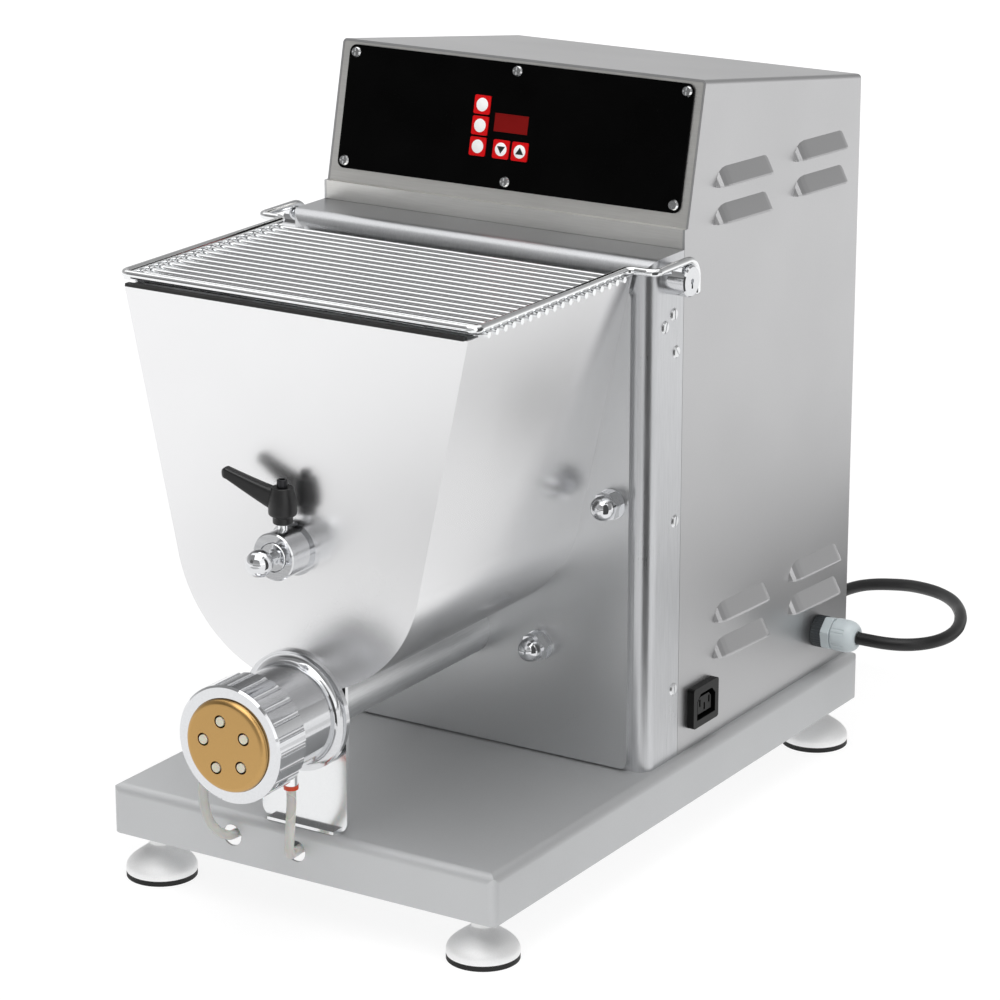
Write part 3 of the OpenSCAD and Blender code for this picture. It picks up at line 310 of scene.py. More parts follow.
# Every CAD node, under the finish that it wears.
WEARERS: dict[Finish, str] = {
    SATIN_SHEET: "body_cover rear_panel",
    BASE_SHEET: "base_pan",
    FASCIA_SHEET: "fascia_panel",
    FRAME_SHEET: "front_frame",
    HOPPER_SHEET: "hopper",
    POLISHED_PLATE: "back_plate",
    BRACKET_STEEL: "head_bracket",
    CHROME_ROD: "panel_screws hose_fittings clamp_stud lid_frame lid_bars",
    CHROME_NUT: "acorn_nuts ring_nut pull_pin hinge_bosses",
    TURNED_BARREL: "head_barrel bearing_hub",
    TUBE_STEEL: "extruder_tube",
    BRONZE: "die",
    SINTERED: "shaft_bushes hub_bush",
    GEAR_STEEL: "auger_gear mixer_gear drive_pinion",
    CAST_ALUMINIUM: "drive_plate",
    FOOT_BLASTED: "foot_fl foot_fr foot_rl foot_rr",
    TURNED_STEEL: "housing_screws auger mixer_shaft",
    OVERLAY_FILM: "control_overlay",
    DISPLAY_FILM: "display_window",
    KEY_RED: "key_start key_pause key_stop key_down key_up",
    LEVER_NYLON: "clamp_lever",
    OUTLET_NYLON: "appliance_outlet",
    GLAND_NYLON: "cable_gland",
    DULL_BLACK: "rim_seal gland_washer",
    PAD_RUBBER: "pad_fl pad_fr pad_rl pad_rr",
    CORD_RUBBER: "power_cord cord_coil mains_plug",
    HOSE_SILICONE: "hose_left hose_right",
    COLLAR_ORANGE: "hose_collars",
    INSERT_CREAM: "die_inserts",
    MOTOR_PAINT: "gear_motor",
    BOARD_GREEN: "control_board",
    MANIFOLD_GREY: "hose_manifold",
}
DRESS: dict[str, Finish] = {node: finish for finish, nodes in WEARERS.items() for node in nodes.split()}


class Wardrobe:
    """Keeps one Blender material for each finish."""

    def __init__(self) -> None:
        """Starts with no materials."""
        self._made: dict[str, bpy.types.Material] = {}

    def get(self, finish: Finish) -> bpy.types.Material:
        """Gives a finish's material, building it the first time."""
        if finish.name not in self._made:
            self._made[finish.name] = finish.build()
        return self._made[finish.name]

    def put(self, obj: bpy.types.Object, finish: Finish) -> bpy.types.Object:
        """Gives obj the finish as its only material and returns obj."""
        obj.data.materials.clear()
        obj.data.materials.append(self.get(finish))
        return obj


# -------------------- shapes from arrays


def mesh_object(
    name: str, verts: Sequence[Sequence[float]], faces: Sequence[Sequence[int]]
) -> bpy.types.Object:
    """Puts vertices and faces into a new object at the origin.

    Args:
        name: the object's name.
        verts: the points.
        faces: the faces, as indices of points.

    Returns:
        The new object, linked to the scene.
    """
    mesh = bpy.data.meshes.new(name)
    mesh.from_pydata(verts, [], faces)
    mesh.update()
    obj = bpy.data.objects.new(name, mesh)
    bpy.context.scene.collection.objects.link(obj)
    return obj


def sheet(name: str, width: float, height: float) -> bpy.types.Object:
    """Makes a flat rectangle about the origin."""
    w, h = width / 2, height / 2
    return mesh_object(name, [(-w, -h, 0), (w, -h, 0), (w, h, 0), (-w, h, 0)], [(0, 1, 2, 3)])


def surface(name: str, grid: Points) -> bpy.types.Object:
    """Makes a closed mesh over a grid: quads row by row, the last column joined to the first.

    A fan about its middle closes the first row, and another the last.

    Args:
        name: the piece's name.
        grid: points of shape (rows, columns, 3).

    Returns:
        The new object, shaded smooth.
    """
    rows, cols = grid.shape[:2]
    left = np.arange(rows * cols).reshape(rows, cols)
    right = np.roll(left, -1, axis=1)
    first, last = rows * cols, rows * cols + 1
    faces = np.stack([left[:-1], right[:-1], right[1:], left[1:]], axis=-1).reshape(-1, 4).tolist()
    faces += np.stack([right[0], left[0], np.full(cols, first)], axis=-1).tolist()
    faces += np.stack([left[-1], right[-1], np.full(cols, last)], axis=-1).tolist()
    verts = np.vstack([grid.reshape(-1, 3), grid[0].mean(0), grid[-1].mean(0)])
    obj = mesh_object(name, verts.tolist(), faces)
    obj.data.polygons.foreach_set("use_smooth", np.ones(len(faces), dtype=bool))
    obj.data.update()
    return obj


def around(count: int) -> Points:
    """Gives count evenly spaced angles that go once round."""
    return np.linspace(0, 2 * math.pi, count, endpoint=False)


def steps_of(line: Points) -> Points:
    """Gives the distances between a line's neighbouring points."""
    return np.linalg.norm(np.diff(line, axis=0), axis=1)


def run_to(line: Points) -> Points:
    """Gives the length that a line has run at each of its points."""
    return np.concatenate([[0.0], np.cumsum(steps_of(line))])


def read_at(line: Points, length: Points, places: Points) -> Points:
    """Reads a line at given lengths, straight between its points."""
    return np.stack([np.interp(places, length, column) for column in line.T], axis=1)


def curve_through(points: Points, count: int, per_span: int = 24) -> Points:
    """Resamples a route evenly along a centripetal Catmull-Rom curve through its points.

    Each span mixes its four nearest points by the square roots of the distances between them.

    Args:
        points: the route, shape (n, 3).
        count: how many points come back.
        per_span: how many points each span has before the resampling.

    Returns:
        Points of shape (count, 3), the same distance apart.
    """
    ends = np.vstack([2 * points[0] - points[1], points, 2 * points[-1] - points[-2]])
    knots = np.concatenate([[0.0], np.cumsum(np.sqrt(steps_of(ends)))])
    fine = []
    for i in range(1, len(ends) - 2):
        t = np.linspace(knots[i], knots[i + 1], per_span, endpoint=False)[:, None]
        k0, k1, k2, k3 = knots[i - 1 : i + 3]
        p0, p1, p2, p3 = ends[i - 1 : i + 3]
        a = (k1 - t) / (k1 - k0) * p0 + (t - k0) / (k1 - k0) * p1
        b = (k2 - t) / (k2 - k1) * p1 + (t - k1) / (k2 - k1) * p2
        c = (k3 - t) / (k3 - k2) * p2 + (t - k2) / (k3 - k2) * p3
        d = (k2 - t) / (k2 - k0) * a + (t - k0) / (k2 - k0) * b
        e = (k3 - t) / (k3 - k1) * b + (t - k1) / (k3 - k1) * c
        fine.append((k2 - t) / (k2 - k1) * d + (t - k1) / (k2 - k1) * e)
    line = np.vstack([*fine, points[-1:]])
    length = run_to(line)
    return read_at(line, length, np.linspace(0.0, length[-1], count))


def tube_grid(path: Points, radius: float | Points, sides: int, aside: Sequence[float]) -> Points:
    """Carries a circle along a path, its frame kept by a vector that the path never follows.

    Args:
        path: the centreline, shape (n, 3).
        radius: one radius, or one for each point.
        sides: points round the circle.
        aside: a direction never parallel to the path.

    Returns:
        A grid of shape (n, sides, 3).
    """
    along = np.gradient(path, axis=0)
    along /= np.linalg.norm(along, axis=1, keepdims=True)
    one = np.cross(along, np.asarray(aside, float))
    one /= np.linalg.norm(one, axis=1, keepdims=True)
    two = np.cross(along, one)
    turn = around(sides)
    size = np.broadcast_to(np.asarray(radius, float).reshape(-1, 1, 1), (len(path), 1, 1))
    ring = np.cos(turn)[None, :, None] * one[:, None] + np.sin(turn)[None, :, None] * two[:, None]
    return path[:, None] + size * ring


def turned(
    profile: Pairs, sides: int, steps: int, waist: Callable[[Points, Points], Points] | None = None
) -> Points:
    """Turns a profile about the local Z axis: each radius goes round at its height.

    Args:
        profile: radius and height pairs.
        sides: points round the axis.
        steps: even lengths that the profile is cut into, besides its own corners.
        waist: function of angles and heights that gives a factor on the radius.

    Returns:
        A grid of shape (n, sides, 3).
    """
    line = np.array(profile, float)
    length = run_to(line)
    line = read_at(line, length, np.union1d(np.linspace(0.0, length[-1], steps), length))
    turn = around(sides)[None, :]
    radius = line[:, :1] * (waist(turn, line[:, 1:]) if waist else np.ones((1, sides)))
    height = np.broadcast_to(line[:, 1:], radius.shape)
    return np.stack([radius * np.cos(turn), radius * np.sin(turn), height], axis=-1)


def set_in(
    grid: Points, origin: Sequence[float], x: Sequence[float], y: Sequence[float], z: Sequence[float]
) -> Points:
    """Carries local points into the machine's frame, in metres.

    Args:
        grid: points in local millimetres, last axis of length 3.
        origin: where the local origin lies, in millimetres.
        x: direction of local X.
        y: direction of local Y.
        z: direction of local Z.

    Returns:
        The points in metres.
    """
    return (np.asarray(origin, float) + grid @ np.array([x, y, z], float)) * MM


def stamped(outline: Points, levels: Pairs) -> Points:
    """Stacks a closed outline at several heights, each shrunk about its middle.

    Args:
        outline: points of shape (n, 2).
        levels: height and scale pairs, from the base up.

    Returns:
        A grid of shape (levels, n, 3).
    """
    middle = outline.mean(0)
    return np.stack([np.c_[middle + (outline - middle) * k, np.full(len(outline), h)] for h, k in levels])


def rounded(corners: Pairs, radius: float, per: int = 6) -> Points:
    """Rounds the corners of a convex outline that runs counter-clockwise.

    An arc's centre lies on its corner's bisector, the radius over the sine of half the angle away.

    Args:
        corners: the sharp corners.
        radius: radius of each rounding.
        per: points on each arc.

    Returns:
        Points of shape (corners * per, 2).
    """
    c = np.array(corners, float)
    before, after = np.roll(c, 1, 0) - c, np.roll(c, -1, 0) - c
    before /= np.linalg.norm(before, axis=1, keepdims=True)
    after /= np.linalg.norm(after, axis=1, keepdims=True)
    half = np.arccos(np.clip((before * after).sum(1), -1, 1)) / 2
    middle = before + after
    middle /= np.linalg.norm(middle, axis=1, keepdims=True)
    hub = c + middle * (radius / np.sin(half))[:, None]
    sweep = np.linspace(-1, 1, per)[None, :] * (math.pi / 2 - half)[:, None]
    out = -middle
    side = np.stack([-out[:, 1], out[:, 0]], axis=1)
    arc = out[:, None] * np.cos(sweep)[..., None] + side[:, None] * np.sin(sweep)[..., None]
    return (hub[:, None] + radius * arc).reshape(-1, 2)


# -------------------- studio


@dataclass(frozen=True)
class Stand:
    """Where a lamp or a card stands: its middle, the point that it faces, its width and height."""

    name: str
    place: Triple
    aim: Triple
    size: tuple[float, float]

    def set_up(self, obj: bpy.types.Object) -> None:
        """Stands obj at its place and turns it to its aim."""
        obj.location = self.place
        away = Vector(self.place) - Vector(self.aim)
        obj.rotation_euler = away.to_track_quat("Z", "Y").to_euler()


@dataclass(frozen=True)
class SoftBox(Stand):
    """A soft box, its power in watts."""

    power: float

    def build(self) -> None:
        """Hangs the soft box."""
        data = bpy.data.lights.new(self.name, "AREA")
        data.shape, data.energy = "RECTANGLE", self.power
        data.size, data.size_y = self.size
        obj = bpy.data.objects.new(self.name, data)
        self.set_up(obj)
        bpy.context.scene.collection.objects.link(obj)


@dataclass(frozen=True)
class Card(Stand):
    """A card that only reflections see, as a photographer shapes polished steel: grey is its brightness. The
    dark cards in the hopper and on the floor at the right are painted shade and a painted shadow.
    """

    grey: float

    def build(self) -> None:
        """Stands the card, which shows the side that faces its aim and is clear from behind."""
        obj = sheet(self.name, *self.size)
        self.set_up(obj)
        mat, tree, _ = new_material(self.name)
        glow = add_node(tree, "Emission", {"Color": (self.grey, self.grey, self.grey, 1), "Strength": 1.0})
        clear = add_node(tree, "BsdfTransparent")
        side = add_node(tree, "NewGeometry").outputs["Backfacing"]
        shown = add_node(tree, "MixShader", {0: side, 1: clear.outputs[0], 2: glow.outputs[0]})
        tree.links.new(shown.outputs[0], tree.nodes["Material Output"].inputs[0])
        obj.data.materials.append(mat)
        obj.visible_camera = obj.visible_diffuse = obj.visible_shadow = obj.visible_transmission = False


@dataclass
class Studio:
    """Camera, floor, white surroundings and soft light. The camera stands where the photograph's did."""

    place: Triple = (1.27371, -2.02526, 0.96215)
    yaw: float = 32.21
    pitch: float = 17.33
    lens: float = 136.72
    boxes: tuple[SoftBox, ...] = (
        SoftBox("key box", (0.3, -1.1, 2.9), (0, 0, 0.25), (2.6, 2.6), 44),
        SoftBox("fill box", (2.4, -1.2, 1.6), (0, 0, 0.25), (2.8, 2.8), 22),
        SoftBox("top box", (0.1, 0.3, 2.6), (0, 0, 0.3), (2.4, 2.4), 16),
    )
    cards: tuple[Card, ...] = (
        Card("right card", (2.6, 0.6, 0.5), (0, 0, 0.3), (1.6, 2.2), 0.3),
        Card("low card", (0.6, -2.6, 0.1), (0, -0.2, 0.25), (3.0, 0.5), 0.25),
        # Dark card on the floor behind the right side, seen only in reflections: a painted shadow of the
        # machine on the floor, mirrored in the body's side.
        Card("painted shadow card on floor at right", (0.27, 0.62, 0.002), (0.27, 0.62, 1), (0.27, 0.46), 0.22),
        Card("floor card beside hopper", (0.37, 0.27, 0.002), (0.37, 0.27, 1), (0.3, 0.28), 0.85),
        Card("floor card in front", (-0.05, -1.1, 0.002), (-0.05, -1.1, 1), (0.9, 0.7), 0.6),
        # Near-black card just under the grid, seen only in reflections: painted shade for the dark inside of
        # the hopper, which the bars' undersides mirror.
        Card("painted shade card in hopper", (0, -0.142, 0.3925), (0, -0.142, 1), (0.24, 0.172), 0.01),
        Card("upper left card", (-1.02, 0.4, 2.06), (0, -0.14, 0.4), (1.9, 1.7), 1.3),
        Card("front left card", (-1.33, -2.1, 1.14), (0, -0.14, 0.35), (1.3, 0.95), 0.15),
        Card("corner card", (0.35, -0.185, 0.275), (0.14, -0.05, 0.275), (0.26, 0.54), 0.08),
    )

    def camera(self) -> None:
        """Stands the camera at the photograph's viewpoint."""
        data = bpy.data.cameras.new("camera")
        data.sensor_width, data.lens = 36.0, self.lens
        data.clip_start, data.clip_end = 0.05, 50.0
        cam = bpy.data.objects.new("camera", data)
        cam.location = self.place
        cam.rotation_euler = (math.radians(90 - self.pitch), 0.0, math.radians(self.yaw))
        bpy.context.scene.collection.objects.link(cam)
        bpy.context.scene.camera = cam

    def floor(self) -> None:
        """Lays a white floor that glows to the camera and to gloss, fully so away from the machine."""
        obj = sheet("floor", 24.0, 24.0)
        paper = {"Base Color": (0.2, 0.2, 0.2, 1.0), "Roughness": 0.9, "Specular IOR Level": 0.0}
        mat, tree, shader = new_material("white seamless paper", paper)
        place = add_node(tree, "TexCoord").outputs["Object"]
        spot = add_node(tree, "VectorMath", {0: place}, operation="LENGTH").outputs["Value"]
        # From 0.9 m to 2.6 m out, the glow rises from 0.84 to white.
        reach = add_node(tree, "MapRange", {0: spot, 1: 0.9, 2: 2.6, 3: 0.84, 4: 1.0})
        glow = add_node(tree, "Emission", {"Color": (1, 1, 1, 1), "Strength": reach.outputs[0]})
        seen = add_node(tree, "LightPath").outputs
        rays = {0: seen["Is Camera Ray"], 1: seen["Is Glossy Ray"]}
        watched = add_node(tree, "Math", rays, operation="MAXIMUM")
        soft = add_node(tree, "Emission", {"Strength": 0.4})
        pick = add_node(tree, "MixShader", {0: watched.outputs[0], 1: soft.outputs[0], 2: glow.outputs[0]})
        both = add_node(tree, "AddShader", {0: shader.outputs[0], 1: pick.outputs[0]})
        tree.links.new(both.outputs[0], tree.nodes["Material Output"].inputs[0])
        obj.data.materials.append(mat)

    def world(self) -> None:
        """Gives the camera white, gloss and glass a tent that darkens upward, and the rest a soft fill."""
        world = bpy.data.worlds.new("white studio")
        bpy.context.scene.world = world
        world.use_nodes = True
        tree = world.node_tree
        tree.nodes.clear()
        out = add_node(tree, "OutputWorld")
        seen = add_node(tree, "LightPath").outputs
        rays = {0: seen["Is Glossy Ray"], 1: seen["Is Transmission Ray"]}
        gloss = add_node(tree, "Math", rays, operation="MAXIMUM").outputs[0]
        fill = add_node(tree, "Background", {"Color": (1, 1, 1, 1), "Strength": 0.5}).outputs[0]
        way = add_node(tree, "SeparateXYZ", {0: add_node(tree, "TexCoord").outputs["Generated"]})
        greys = [(up, (v, v, v, 1.0)) for up, v in ((0.0, 0.72), (0.08, 0.66), (0.3, 0.42), (0.7, 0.3))]
        tent = add_node(tree, "ValToRGB", {0: way.outputs["Z"]}, greys).outputs[0]
        shine = add_node(tree, "Background", {"Color": tent, "Strength": 1.0}).outputs[0]
        white = add_node(tree, "Background", {"Color": (1, 1, 1, 1), "Strength": 1.0}).outputs[0]
        unseen = add_node(tree, "MixShader", {0: gloss, 1: fill, 2: shine}).outputs[0]
        whole = add_node(tree, "MixShader", {0: seen["Is Camera Ray"], 1: unseen, 2: white})
        tree.links.new(whole.outputs[0], out.inputs[0])

    def build(self) -> None:
        """Sets up the whole studio."""
        bpy.context.scene.view_settings.view_transform = "Standard"
        self.camera()
        self.world()
        self.floor()
        for item in (*self.boxes, *self.cards):
            item.build()


# -------------------- control panel prints


class Mark(Enum):
    """What is printed on a key's white disc: an arrowhead's way up, or nothing."""

    NONE = 0
    DOWN = -1
    UP = 1


@dataclass(frozen=True)
class Key:
    """One key: its body, where its middle lies on the fascia, in millimetres, and its mark."""

    body: str
    across: float
    up: float
    mark: Mark = Mark.NONE


@dataclass
class PanelPrints:
    """White discs and arrowheads on the red keys.

    The fascia starts at foot_z, and leans back by lean over its rise. All sizes are millimetres.
    """

    foot_z: float = 416.0
    lean: float = 20.5
    rise: float = 91.0
    key_face: float = 1.82
    disc_r: float = 4.35
    arrow_half: float = 3.1
    arrow_base: float = 1.9
    arrow_tip: float = 2.8
    keys: tuple[Key, ...] = (
        Key("start_key", -23, 61), Key("pause_key", -23, 47.5), Key("stop_key", -23, 34),
        Key("down_key", -5.2, 34, Mark.DOWN), Key("up_key", 9, 34, Mark.UP),
    )

    def printed(self, name: str, key: Key, outline: Points, levels: Pairs) -> bpy.types.Object:
        """Raises an outline off a key's face, local Z standing out of the fascia.

        Args:
            name: the print's name.
            key: the key that it lies on.
            outline: points about the key's middle.
            levels: height over the key's face and scale pairs, from the base up.

        Returns:
            The print.
        """
        length = math.hypot(self.lean, self.rise)
        sin, cos = self.lean / length, self.rise / length
        slope, out = np.array([0.0, sin, cos]), np.array([0.0, -cos, sin])
        origin = np.array([key.across, 0.0, self.foot_z]) + key.up * slope
        grid = stamped(outline, [(self.key_face + height, scale) for height, scale in levels])
        return surface(name, set_in(grid, origin, (1, 0, 0), slope, out))

    def prints(self, key: Key, wardrobe: Wardrobe) -> list[bpy.types.Object]:
        """Prints one key's disc and its arrowhead, which travel with the key.

        Args:
            key: the key.
            wardrobe: the finishes.

        Returns:
            The disc, and the arrowhead if the key has one.
        """
        turn = around(72)
        ring = self.disc_r * np.stack([np.cos(turn), np.sin(turn)], axis=1)
        disc = self.printed(f"{key.body}_disc", key, ring, [(-0.1, 1), (0.03, 1), (0.05, 0.985)])
        made = [wardrobe.put(disc, KEY_WHITE)]
        if key.mark is not Mark.NONE:
            way = key.mark.value
            foot = -self.arrow_base * way
            corners = [(-self.arrow_half, foot), (self.arrow_half, foot), (0, self.arrow_tip * way)]
            outline = rounded(corners if way > 0 else corners[::-1], 0.25)
            arrow = self.printed(f"{key.body}_arrow", key, outline, [(0, 1), (0.07, 1), (0.08, 0.97)])
            made.append(wardrobe.put(arrow, KEY_BLACK))
        for piece in made:
            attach(piece, key.body)
        return made

    def build(self, wardrobe: Wardrobe) -> list[bpy.types.Object]:
        """Prints every key and returns the prints."""
        return [piece for key in self.keys for piece in self.prints(key, wardrobe)]


# -------------------- clamp lever


@dataclass
class ClampLever:
    """The moulded ratchet lever: waisted hub, screw in its crown and a tapering arm with a round end.

    Sizes are millimetres: foot is where its axis starts, root and tip are where the arm's straight part
    starts and ends, out from the axis, and turn is the arm's direction in degrees.
    """

    foot: Triple = (0.0, -249.0, 266.5)
    turn: float = 190.0
    root: float = 2.0
    tip: float = 36.5
    end: float = 3.6

    def place(self, grid: Points, turned_by: float = 0.0) -> Points:
        """Carries local points to the lever's axis, turned about it."""
        a = math.radians(turned_by)
        sin, cos = math.sin(a), math.cos(a)
        return set_in(grid, self.foot, (cos, sin, 0), (-sin, cos, 0), (0, 0, 1))

    def hub(self) -> bpy.types.Object:
        """Turns the hub: a collar below, a belly and a taper up to the crown."""
        profile = [
            (5.2, 0.02), (5.9, 0.4), (6.2, 1.0), (6.2, 4.4), (6.6, 5.0), (8.1, 5.6), (8.6, 6.2), (8.8, 7.2),
            (8.8, 12.5), (8.5, 15.2), (7.9, 18.2), (7.1, 21.2), (6.7, 22.8), (6.4, 23.1), (6.0, 23.1),
            (5.8, 22.8), (3.6, 22.7),
        ]
        return surface("clamp_lever_hub", self.place(turned(profile, 72, 70)))

    def screw(self) -> bpy.types.Object:
        """Turns the screw head with its round socket."""
        profile = [(3.3, 22.5), (3.3, 27.4), (3.1, 27.8), (2.8, 27.9), (1.95, 27.9), (1.8, 27.7), (1.8, 25.4)]
        return surface("clamp_lever_screw", self.place(turned(profile, 48, 30)))

    def arm(self) -> bpy.types.Object:
        """Lofts the arm: a soft-cornered section that narrows to the round end, with a channel on top.

        The section is a superellipse. Its top and its bottom rise as powers of the way along, its width
        falls evenly, and past the tip all its sizes fall as a cosine while it goes on by a sine.

        Returns:
            The arm.
        """
        straight, closing = 46, 13  # how many sections each part has
        s = np.linspace(0, 1, straight)
        along = self.root + (self.tip - self.root) * s
        top = 21.4 + 10.2 * s**1.15
        low = 9.0 + 15.4 * np.clip((along - 7.0) / (self.tip - 7.0), 0, 1) ** 1.05
        wide = 5.0 - 1.4 * s
        quarter = np.linspace(0, 1, closing + 1)[1:] * math.pi / 2
        along = np.concatenate([along, self.tip + self.end * np.sin(quarter)])
        fade = np.concatenate([np.ones(straight), np.cos(quarter) * 0.999 + 0.001])
        middle = np.concatenate([(top + low) / 2, np.full(closing, (top[-1] + low[-1]) / 2)])
        tall = np.concatenate([(top - low) / 2, np.full(closing, (top[-1] - low[-1]) / 2)]) * fade
        wide = np.concatenate([wide, np.full(closing, wide[-1])]) * fade
        turn = around(56)
        square = 2 / 4.2  # 4.2 is the superellipse's exponent, where 2 would be an ellipse
        cos, sin = np.cos(turn), np.sin(turn)
        y = np.sign(cos) * np.abs(cos) ** square
        z = np.sign(sin) * np.abs(sin) ** square
        channel = 0.55 * np.clip((0.62 - np.abs(y)) / 0.12, 0, 1) * (z > 0.5)
        depth = np.interp(along, [8, 10, self.tip - 1.5, self.tip], [0, 1, 1, 0])
        height = middle[:, None] + tall[:, None] * z - depth[:, None] * channel
        grid = np.stack([np.broadcast_to(along[:, None], height.shape), wide[:, None] * y, height], axis=-1)
        return surface("clamp_lever_arm", self.place(grid, self.turn))

    def build(self, wardrobe: Wardrobe) -> list[bpy.types.Object]:
        """Builds the lever in place of its plain CAD solid.

        Args:
            wardrobe: the finishes.

        Returns:
            The arm, the hub and the screw.
        """
        arm = wardrobe.put(self.arm(), LEVER_NYLON)
        hub = wardrobe.put(self.hub(), LEVER_NYLON)
        screw = wardrobe.put(self.screw(), BLACK_STEEL)
        for piece in (arm, hub, screw):
            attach(piece, "lever")
        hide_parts("clamp_lever")
        return [arm, hub, screw]


# -------------------- cable gland


@dataclass
class CableGland:
    """Ribbed sealing ring, hexagon and domed nut, turned about the gland's axis along +X.

    Lengths are millimetres and angles radians. The grooves' depth is a share of the radius.
    """

    foot: Triple = (137.0, 190.0, 94.0)
    sides: int = 216
    sixth: float = math.pi / 3
    flat_at: float = 10.6
    corner_at: float = 12.1
    groove_off: float = 0.12
    groove_wide: float = 0.035
    groove_deep: float = 0.045

    def place(self, grid: Points) -> Points:
        """Carries local points to the gland's axis."""
        return set_in(grid, self.foot, (0, 1, 0), (0, 0, 1), (1, 0, 0))

    def ribs(self, turn: Points, height: Points) -> Points:
        """Raises 36 ribs round the ring, as a cosine of the angle."""
        return 1 + 0.02 * np.cos(36 * turn) * (height > 0.5)

    def flats(self, turn: Points, height: Points) -> Points:
        """Gives the hexagon: the distance to its flats, held inside a cone at either end."""
        flat = self.flat_at / np.cos((turn + 0.3) % self.sixth - self.sixth / 2)
        cone = self.corner_at - 0.9 * np.clip(np.abs(height - 11.2) - 2.6, 0, 1)
        return np.minimum(flat, cone) / 12.0

    def grooves(self, turn: Points, height: Points) -> Points:
        """Cuts a pair of thin bell-shaped grooves into each sixth of the nut's straight part."""
        mid = turn % self.sixth - self.sixth / 2
        one, two = ((mid + off) / self.groove_wide for off in (self.groove_off, -self.groove_off))
        pair = np.exp(-(one**2)) + np.exp(-(two**2))
        return 1 - self.groove_deep * pair * ((height > 16) & (height < 25))

    def ring(self) -> bpy.types.Object:
        """Turns the dark ring with fine ribs round it."""
        profile = [(9.0, 0.0), (10.7, 0.05), (10.9, 0.5), (10.9, 7.6), (10.5, 8.0), (9.0, 8.0)]
        return surface("gland_ring", self.place(turned(profile, self.sides, 26, self.ribs)))

    def hexagon(self) -> bpy.types.Object:
        """Turns the spanner hexagon with chamfered corners."""
        profile = [(8.0, 8.0), (12.0, 8.02), (12.0, 14.4), (8.0, 14.42)]
        return surface("gland_hexagon", self.place(turned(profile, self.sides, 30, self.flats)))

    def dome(self) -> bpy.types.Object:
        """Turns the domed nut: a straight part, a quarter of an ellipse and the edge of its mouth."""
        arc = np.linspace(0, math.pi / 2, 14)
        profile = [(9.6, 14.4), (10.2, 14.6), (10.2, 15.2), (11.1, 15.5), (11.3, 16.0), (11.3, 22.5)]
        profile += [(5.4 + 5.9 * math.cos(a), 23.0 + 8.8 * math.sin(a)) for a in arc]
        profile += [(4.7, 31.6), (4.5, 30.0)]
        return surface("gland_dome", self.place(turned(profile, self.sides, 60, self.grooves)))

    def build(self, wardrobe: Wardrobe) -> list[bpy.types.Object]:
        """Builds the gland in place of its plain CAD solids.

        Args:
            wardrobe: the finishes.

        Returns:
            The ring, the hexagon and the dome.
        """
        ring = wardrobe.put(self.ring(), RING_RUBBER)
        hexagon = wardrobe.put(self.hexagon(), GLAND_NYLON)
        dome = wardrobe.put(self.dome(), GLAND_NYLON)
        for piece in (ring, hexagon, dome):
            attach(piece, "machine")
        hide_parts("gland_washer")
        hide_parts("cable_gland")
        return [ring, hexagon, dome]


# -------------------- cooling hoses


@dataclass
class Hose:
    """A silicone hose from a nipple on the head down through the front of the base, in millimetres."""

    name: str
    node: str
    route: tuple[Triple, ...]
    radius: float = 3.0

    def build(self, wardrobe: Wardrobe) -> list[bpy.types.Object]:
        """Args:
            wardrobe: the finishes.

        Returns:
            The hose.
        """
        line = curve_through(np.array(self.route, float), 90) * MM
        grid = tube_grid(line, self.radius * MM, 32, (1, 0.2, 0))
        piece = wardrobe.put(surface(self.name, grid), HOSE_SILICONE)
        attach(piece, "machine")
        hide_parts(self.node)
        return [piece]


HOSES = (
    Hose("cooling_hose_left", "hose_left", (
        (-40, -262, 128.5), (-44, -262, 127), (-48.5, -262, 122), (-52, -262, 110), (-53.5, -263, 98),
        (-54.5, -263, 87), (-55, -261, 76), (-55, -258, 67), (-54, -254, 60), (-52, -249, 54.5),
        (-50, -243, 51), (-50, -236, 50), (-50, -226, 50), (-50, -215, 50),
    )),
    Hose("cooling_hose_right", "hose_right", (
        (12, -262, 101.9), (12, -262, 92), (11.5, -262.5, 82), (10.5, -262, 72), (8.5, -260, 64),
        (5.5, -256, 57), (2, -250, 52), (-0.5, -243, 50), (-1, -236, 50), (-1, -226, 50), (-1, -215, 50),
    )),
)


# -------------------- mains lead


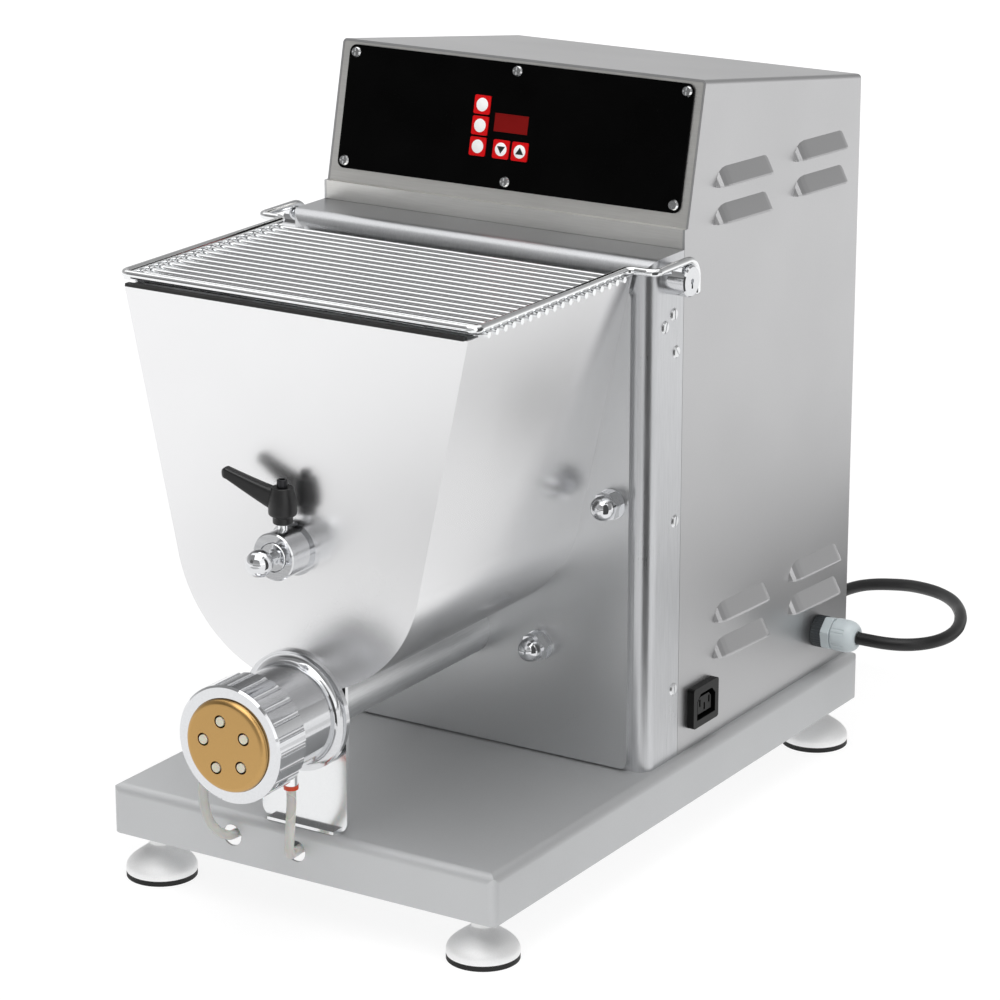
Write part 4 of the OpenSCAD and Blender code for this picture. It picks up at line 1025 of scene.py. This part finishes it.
@dataclass
class MainsLead:
    """The lead: out of the gland, round behind the machine, down to the table, into a coil and its plug.

    All sizes are millimetres. Inner and outer are the radii of the coil's two rings of turns.
    """

    radius: float = 4.4
    route: tuple[Triple, ...] = (
        (169, 190, 94), (178, 190, 94), (188, 190.5, 94), (198, 193, 94), (207, 198.5, 94),
        (213.5, 207, 93.8), (217.5, 218, 93.5), (218.5, 231, 93), (216.5, 246, 92.5), (212, 261, 92),
        (205.5, 276, 91.5), (197, 291, 90.5), (187, 305, 89.5), (175, 318, 88), (161, 329.5, 86),
        (146, 339, 83.5), (130.5, 347, 80.5), (115, 352.5, 77), (99, 357, 73), (84, 360.5, 68),
        (69, 364, 60.5), (55, 367.5, 51), (41.5, 371, 41), (28, 374, 30.5), (14.5, 376.7, 20.5),
        (0.5, 378.5, 12), (-13, 379, 6.7),
    )
    coil_at: tuple[float, float] = (-40, 325)
    inner: float = 45.6
    outer: float = 54.4
    tail: tuple[Triple, ...] = (
        (-44, 270, 13.3), (-34, 267.6, 13.8), (-24, 265.4, 14.5), (-14, 263.6, 15.4), (-4, 262.4, 16.4),
        (6, 262, 17), (16, 262, 17),
    )
    plug_at: Triple = (16, 262, 17)
    plug_long: float = 42.0
    relief_long: float = 18.0
    pin_apart: float = 19.0

    def turns(self) -> Points:
        """Works out the coil: radius and height step by a diameter over short smooth windows of the turn.

        The smooth step is t squared times three less twice t.

        Returns:
            The coil's points in millimetres.
        """
        turn = np.arange(75.5, 1336, 7.5)  # degrees: three and a half turns
        inward, upward, outward = 365, 670, 975  # where the coil steps in, up and out again

        def ease(start: float, window: float = 50) -> Points:
            """Steps smoothly from nought to one over a window of degrees after start."""
            t = np.clip((turn - start) / window, 0, 1)
            return t * t * (3 - 2 * t)

        radius = self.outer - (self.outer - self.inner) * (ease(inward) - ease(outward))
        height = self.radius + 2 * self.radius * ease(upward)
        angle = np.radians(turn)
        x, y = self.coil_at
        return np.stack([x + radius * np.cos(angle), y + radius * np.sin(angle), height], axis=1)

    def line(self) -> Points:
        """Gives the whole centreline, evenly spaced, in metres."""
        rough = np.vstack([np.array(self.route, float), self.turns(), np.array(self.tail, float)])
        return curve_through(rough, 620) * MM

    def cord(self, line: Points) -> bpy.types.Object:
        """Makes the lead as one round curve.

        Args:
            line: its centreline, in metres.

        Returns:
            The lead.
        """
        data = bpy.data.curves.new("mains_lead", "CURVE")
        data.dimensions, data.bevel_depth, data.bevel_resolution = "3D", self.radius * MM, 5
        data.use_fill_caps = True
        spline = data.splines.new("POLY")
        spline.points.add(len(line) - 1)
        spline.points.foreach_set("co", np.c_[line, np.ones(len(line))].ravel())
        spline.use_smooth = True
        obj = bpy.data.objects.new("mains_lead", data)
        bpy.context.scene.collection.objects.link(obj)
        return obj

    def plug(self) -> bpy.types.Object:
        """Turns the plug's outline about the lead's end: ribbed strain relief, grip and flat face.

        The relief widens evenly with a step each 1.5 mm, and eight cosine scallops go round the grip.

        Returns:
            The plug's body.
        """
        s = np.linspace(0, 1, 90)
        x = self.plug_long * s
        ribs = 0.5 * np.sign(np.sin(x * 2 * math.pi / 3.0))
        relief = 5.2 + 3.2 * s * self.plug_long / self.relief_long + ribs
        outline = np.array([
            (18, 9.5), (20, 12.5), (24, 15.2), (30, 16.2), (36, 16.9), (40, 17.0), (41.4, 16.6), (42, 15.8),
        ])
        grip = np.interp(x, outline[:, 0], outline[:, 1])
        radius = np.where(x < self.relief_long, relief, grip)
        turn = around(64)
        scallop = 1 - 0.035 * np.clip(np.cos(turn * 8), 0, 1)[None, :] * ((x > 22) & (x < 39))[:, None]
        ring = radius[:, None] * scallop
        px, py, pz = self.plug_at
        forward = np.broadcast_to((px + x)[:, None], ring.shape)
        grid = np.stack([forward, py + ring * np.cos(turn), pz + ring * np.sin(turn)], axis=-1)
        return surface("mains_plug_body", grid * MM)

    def pins(self) -> list[bpy.types.Object]:
        """Makes the two round plug pins with their sleeved roots.

        Returns:
            The pins.
        """
        made = []
        px, py, pz = self.plug_at
        x = np.array([41, 52, 52.2, 59, 60.4, 61])
        r = np.array([2.4, 2.4, 2.3, 2.3, 1.7, 0.4])
        for i, side in enumerate((-self.pin_apart / 2, self.pin_apart / 2)):
            path = np.stack([px + x, np.full(len(x), py + side), np.full(len(x), pz)], axis=1)
            made.append(surface(f"mains_plug_pin_{i}", tube_grid(path, r, 24, (0, 0, 1)) * MM))
        return made

    def build(self, wardrobe: Wardrobe) -> list[bpy.types.Object]:
        """Args:
            wardrobe: the finishes.

        Returns:
            The lead, the plug's body and its pins.
        """
        line = self.line()
        cord = wardrobe.put(self.cord(line), CORD_RUBBER)
        plug = wardrobe.put(self.plug(), CORD_RUBBER)
        pins = [wardrobe.put(p, PIN_BRASS) for p in self.pins()]
        for piece in (cord, plug, *pins):
            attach(piece, "machine")
        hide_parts("power_cord", "cord_coil")
        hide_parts("mains_plug")
        return [cord, plug, *pins]


# -------------------- dressing and assembly


def dress_nodes(wardrobe: Wardrobe) -> None:
    """Gives every CAD node its finish."""
    for name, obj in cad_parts.items():
        wardrobe.put(obj, DRESS[name])


def main() -> None:
    """Builds the studio and the classes' pieces, in order, and reports each piece."""
    logging.basicConfig(level=logging.INFO)
    wardrobe = Wardrobe()
    Studio().build()
    dress_nodes(wardrobe)
    LOG.info("%d CAD nodes dressed", len(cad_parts))
    for part in (PanelPrints(), ClampLever(), CableGland(), *HOSES, MainsLead()):
        for piece in part.build(wardrobe):
            LOG.info("%s made %s", type(part).__name__, piece.name)


if __name__ == "__main__":
    main()
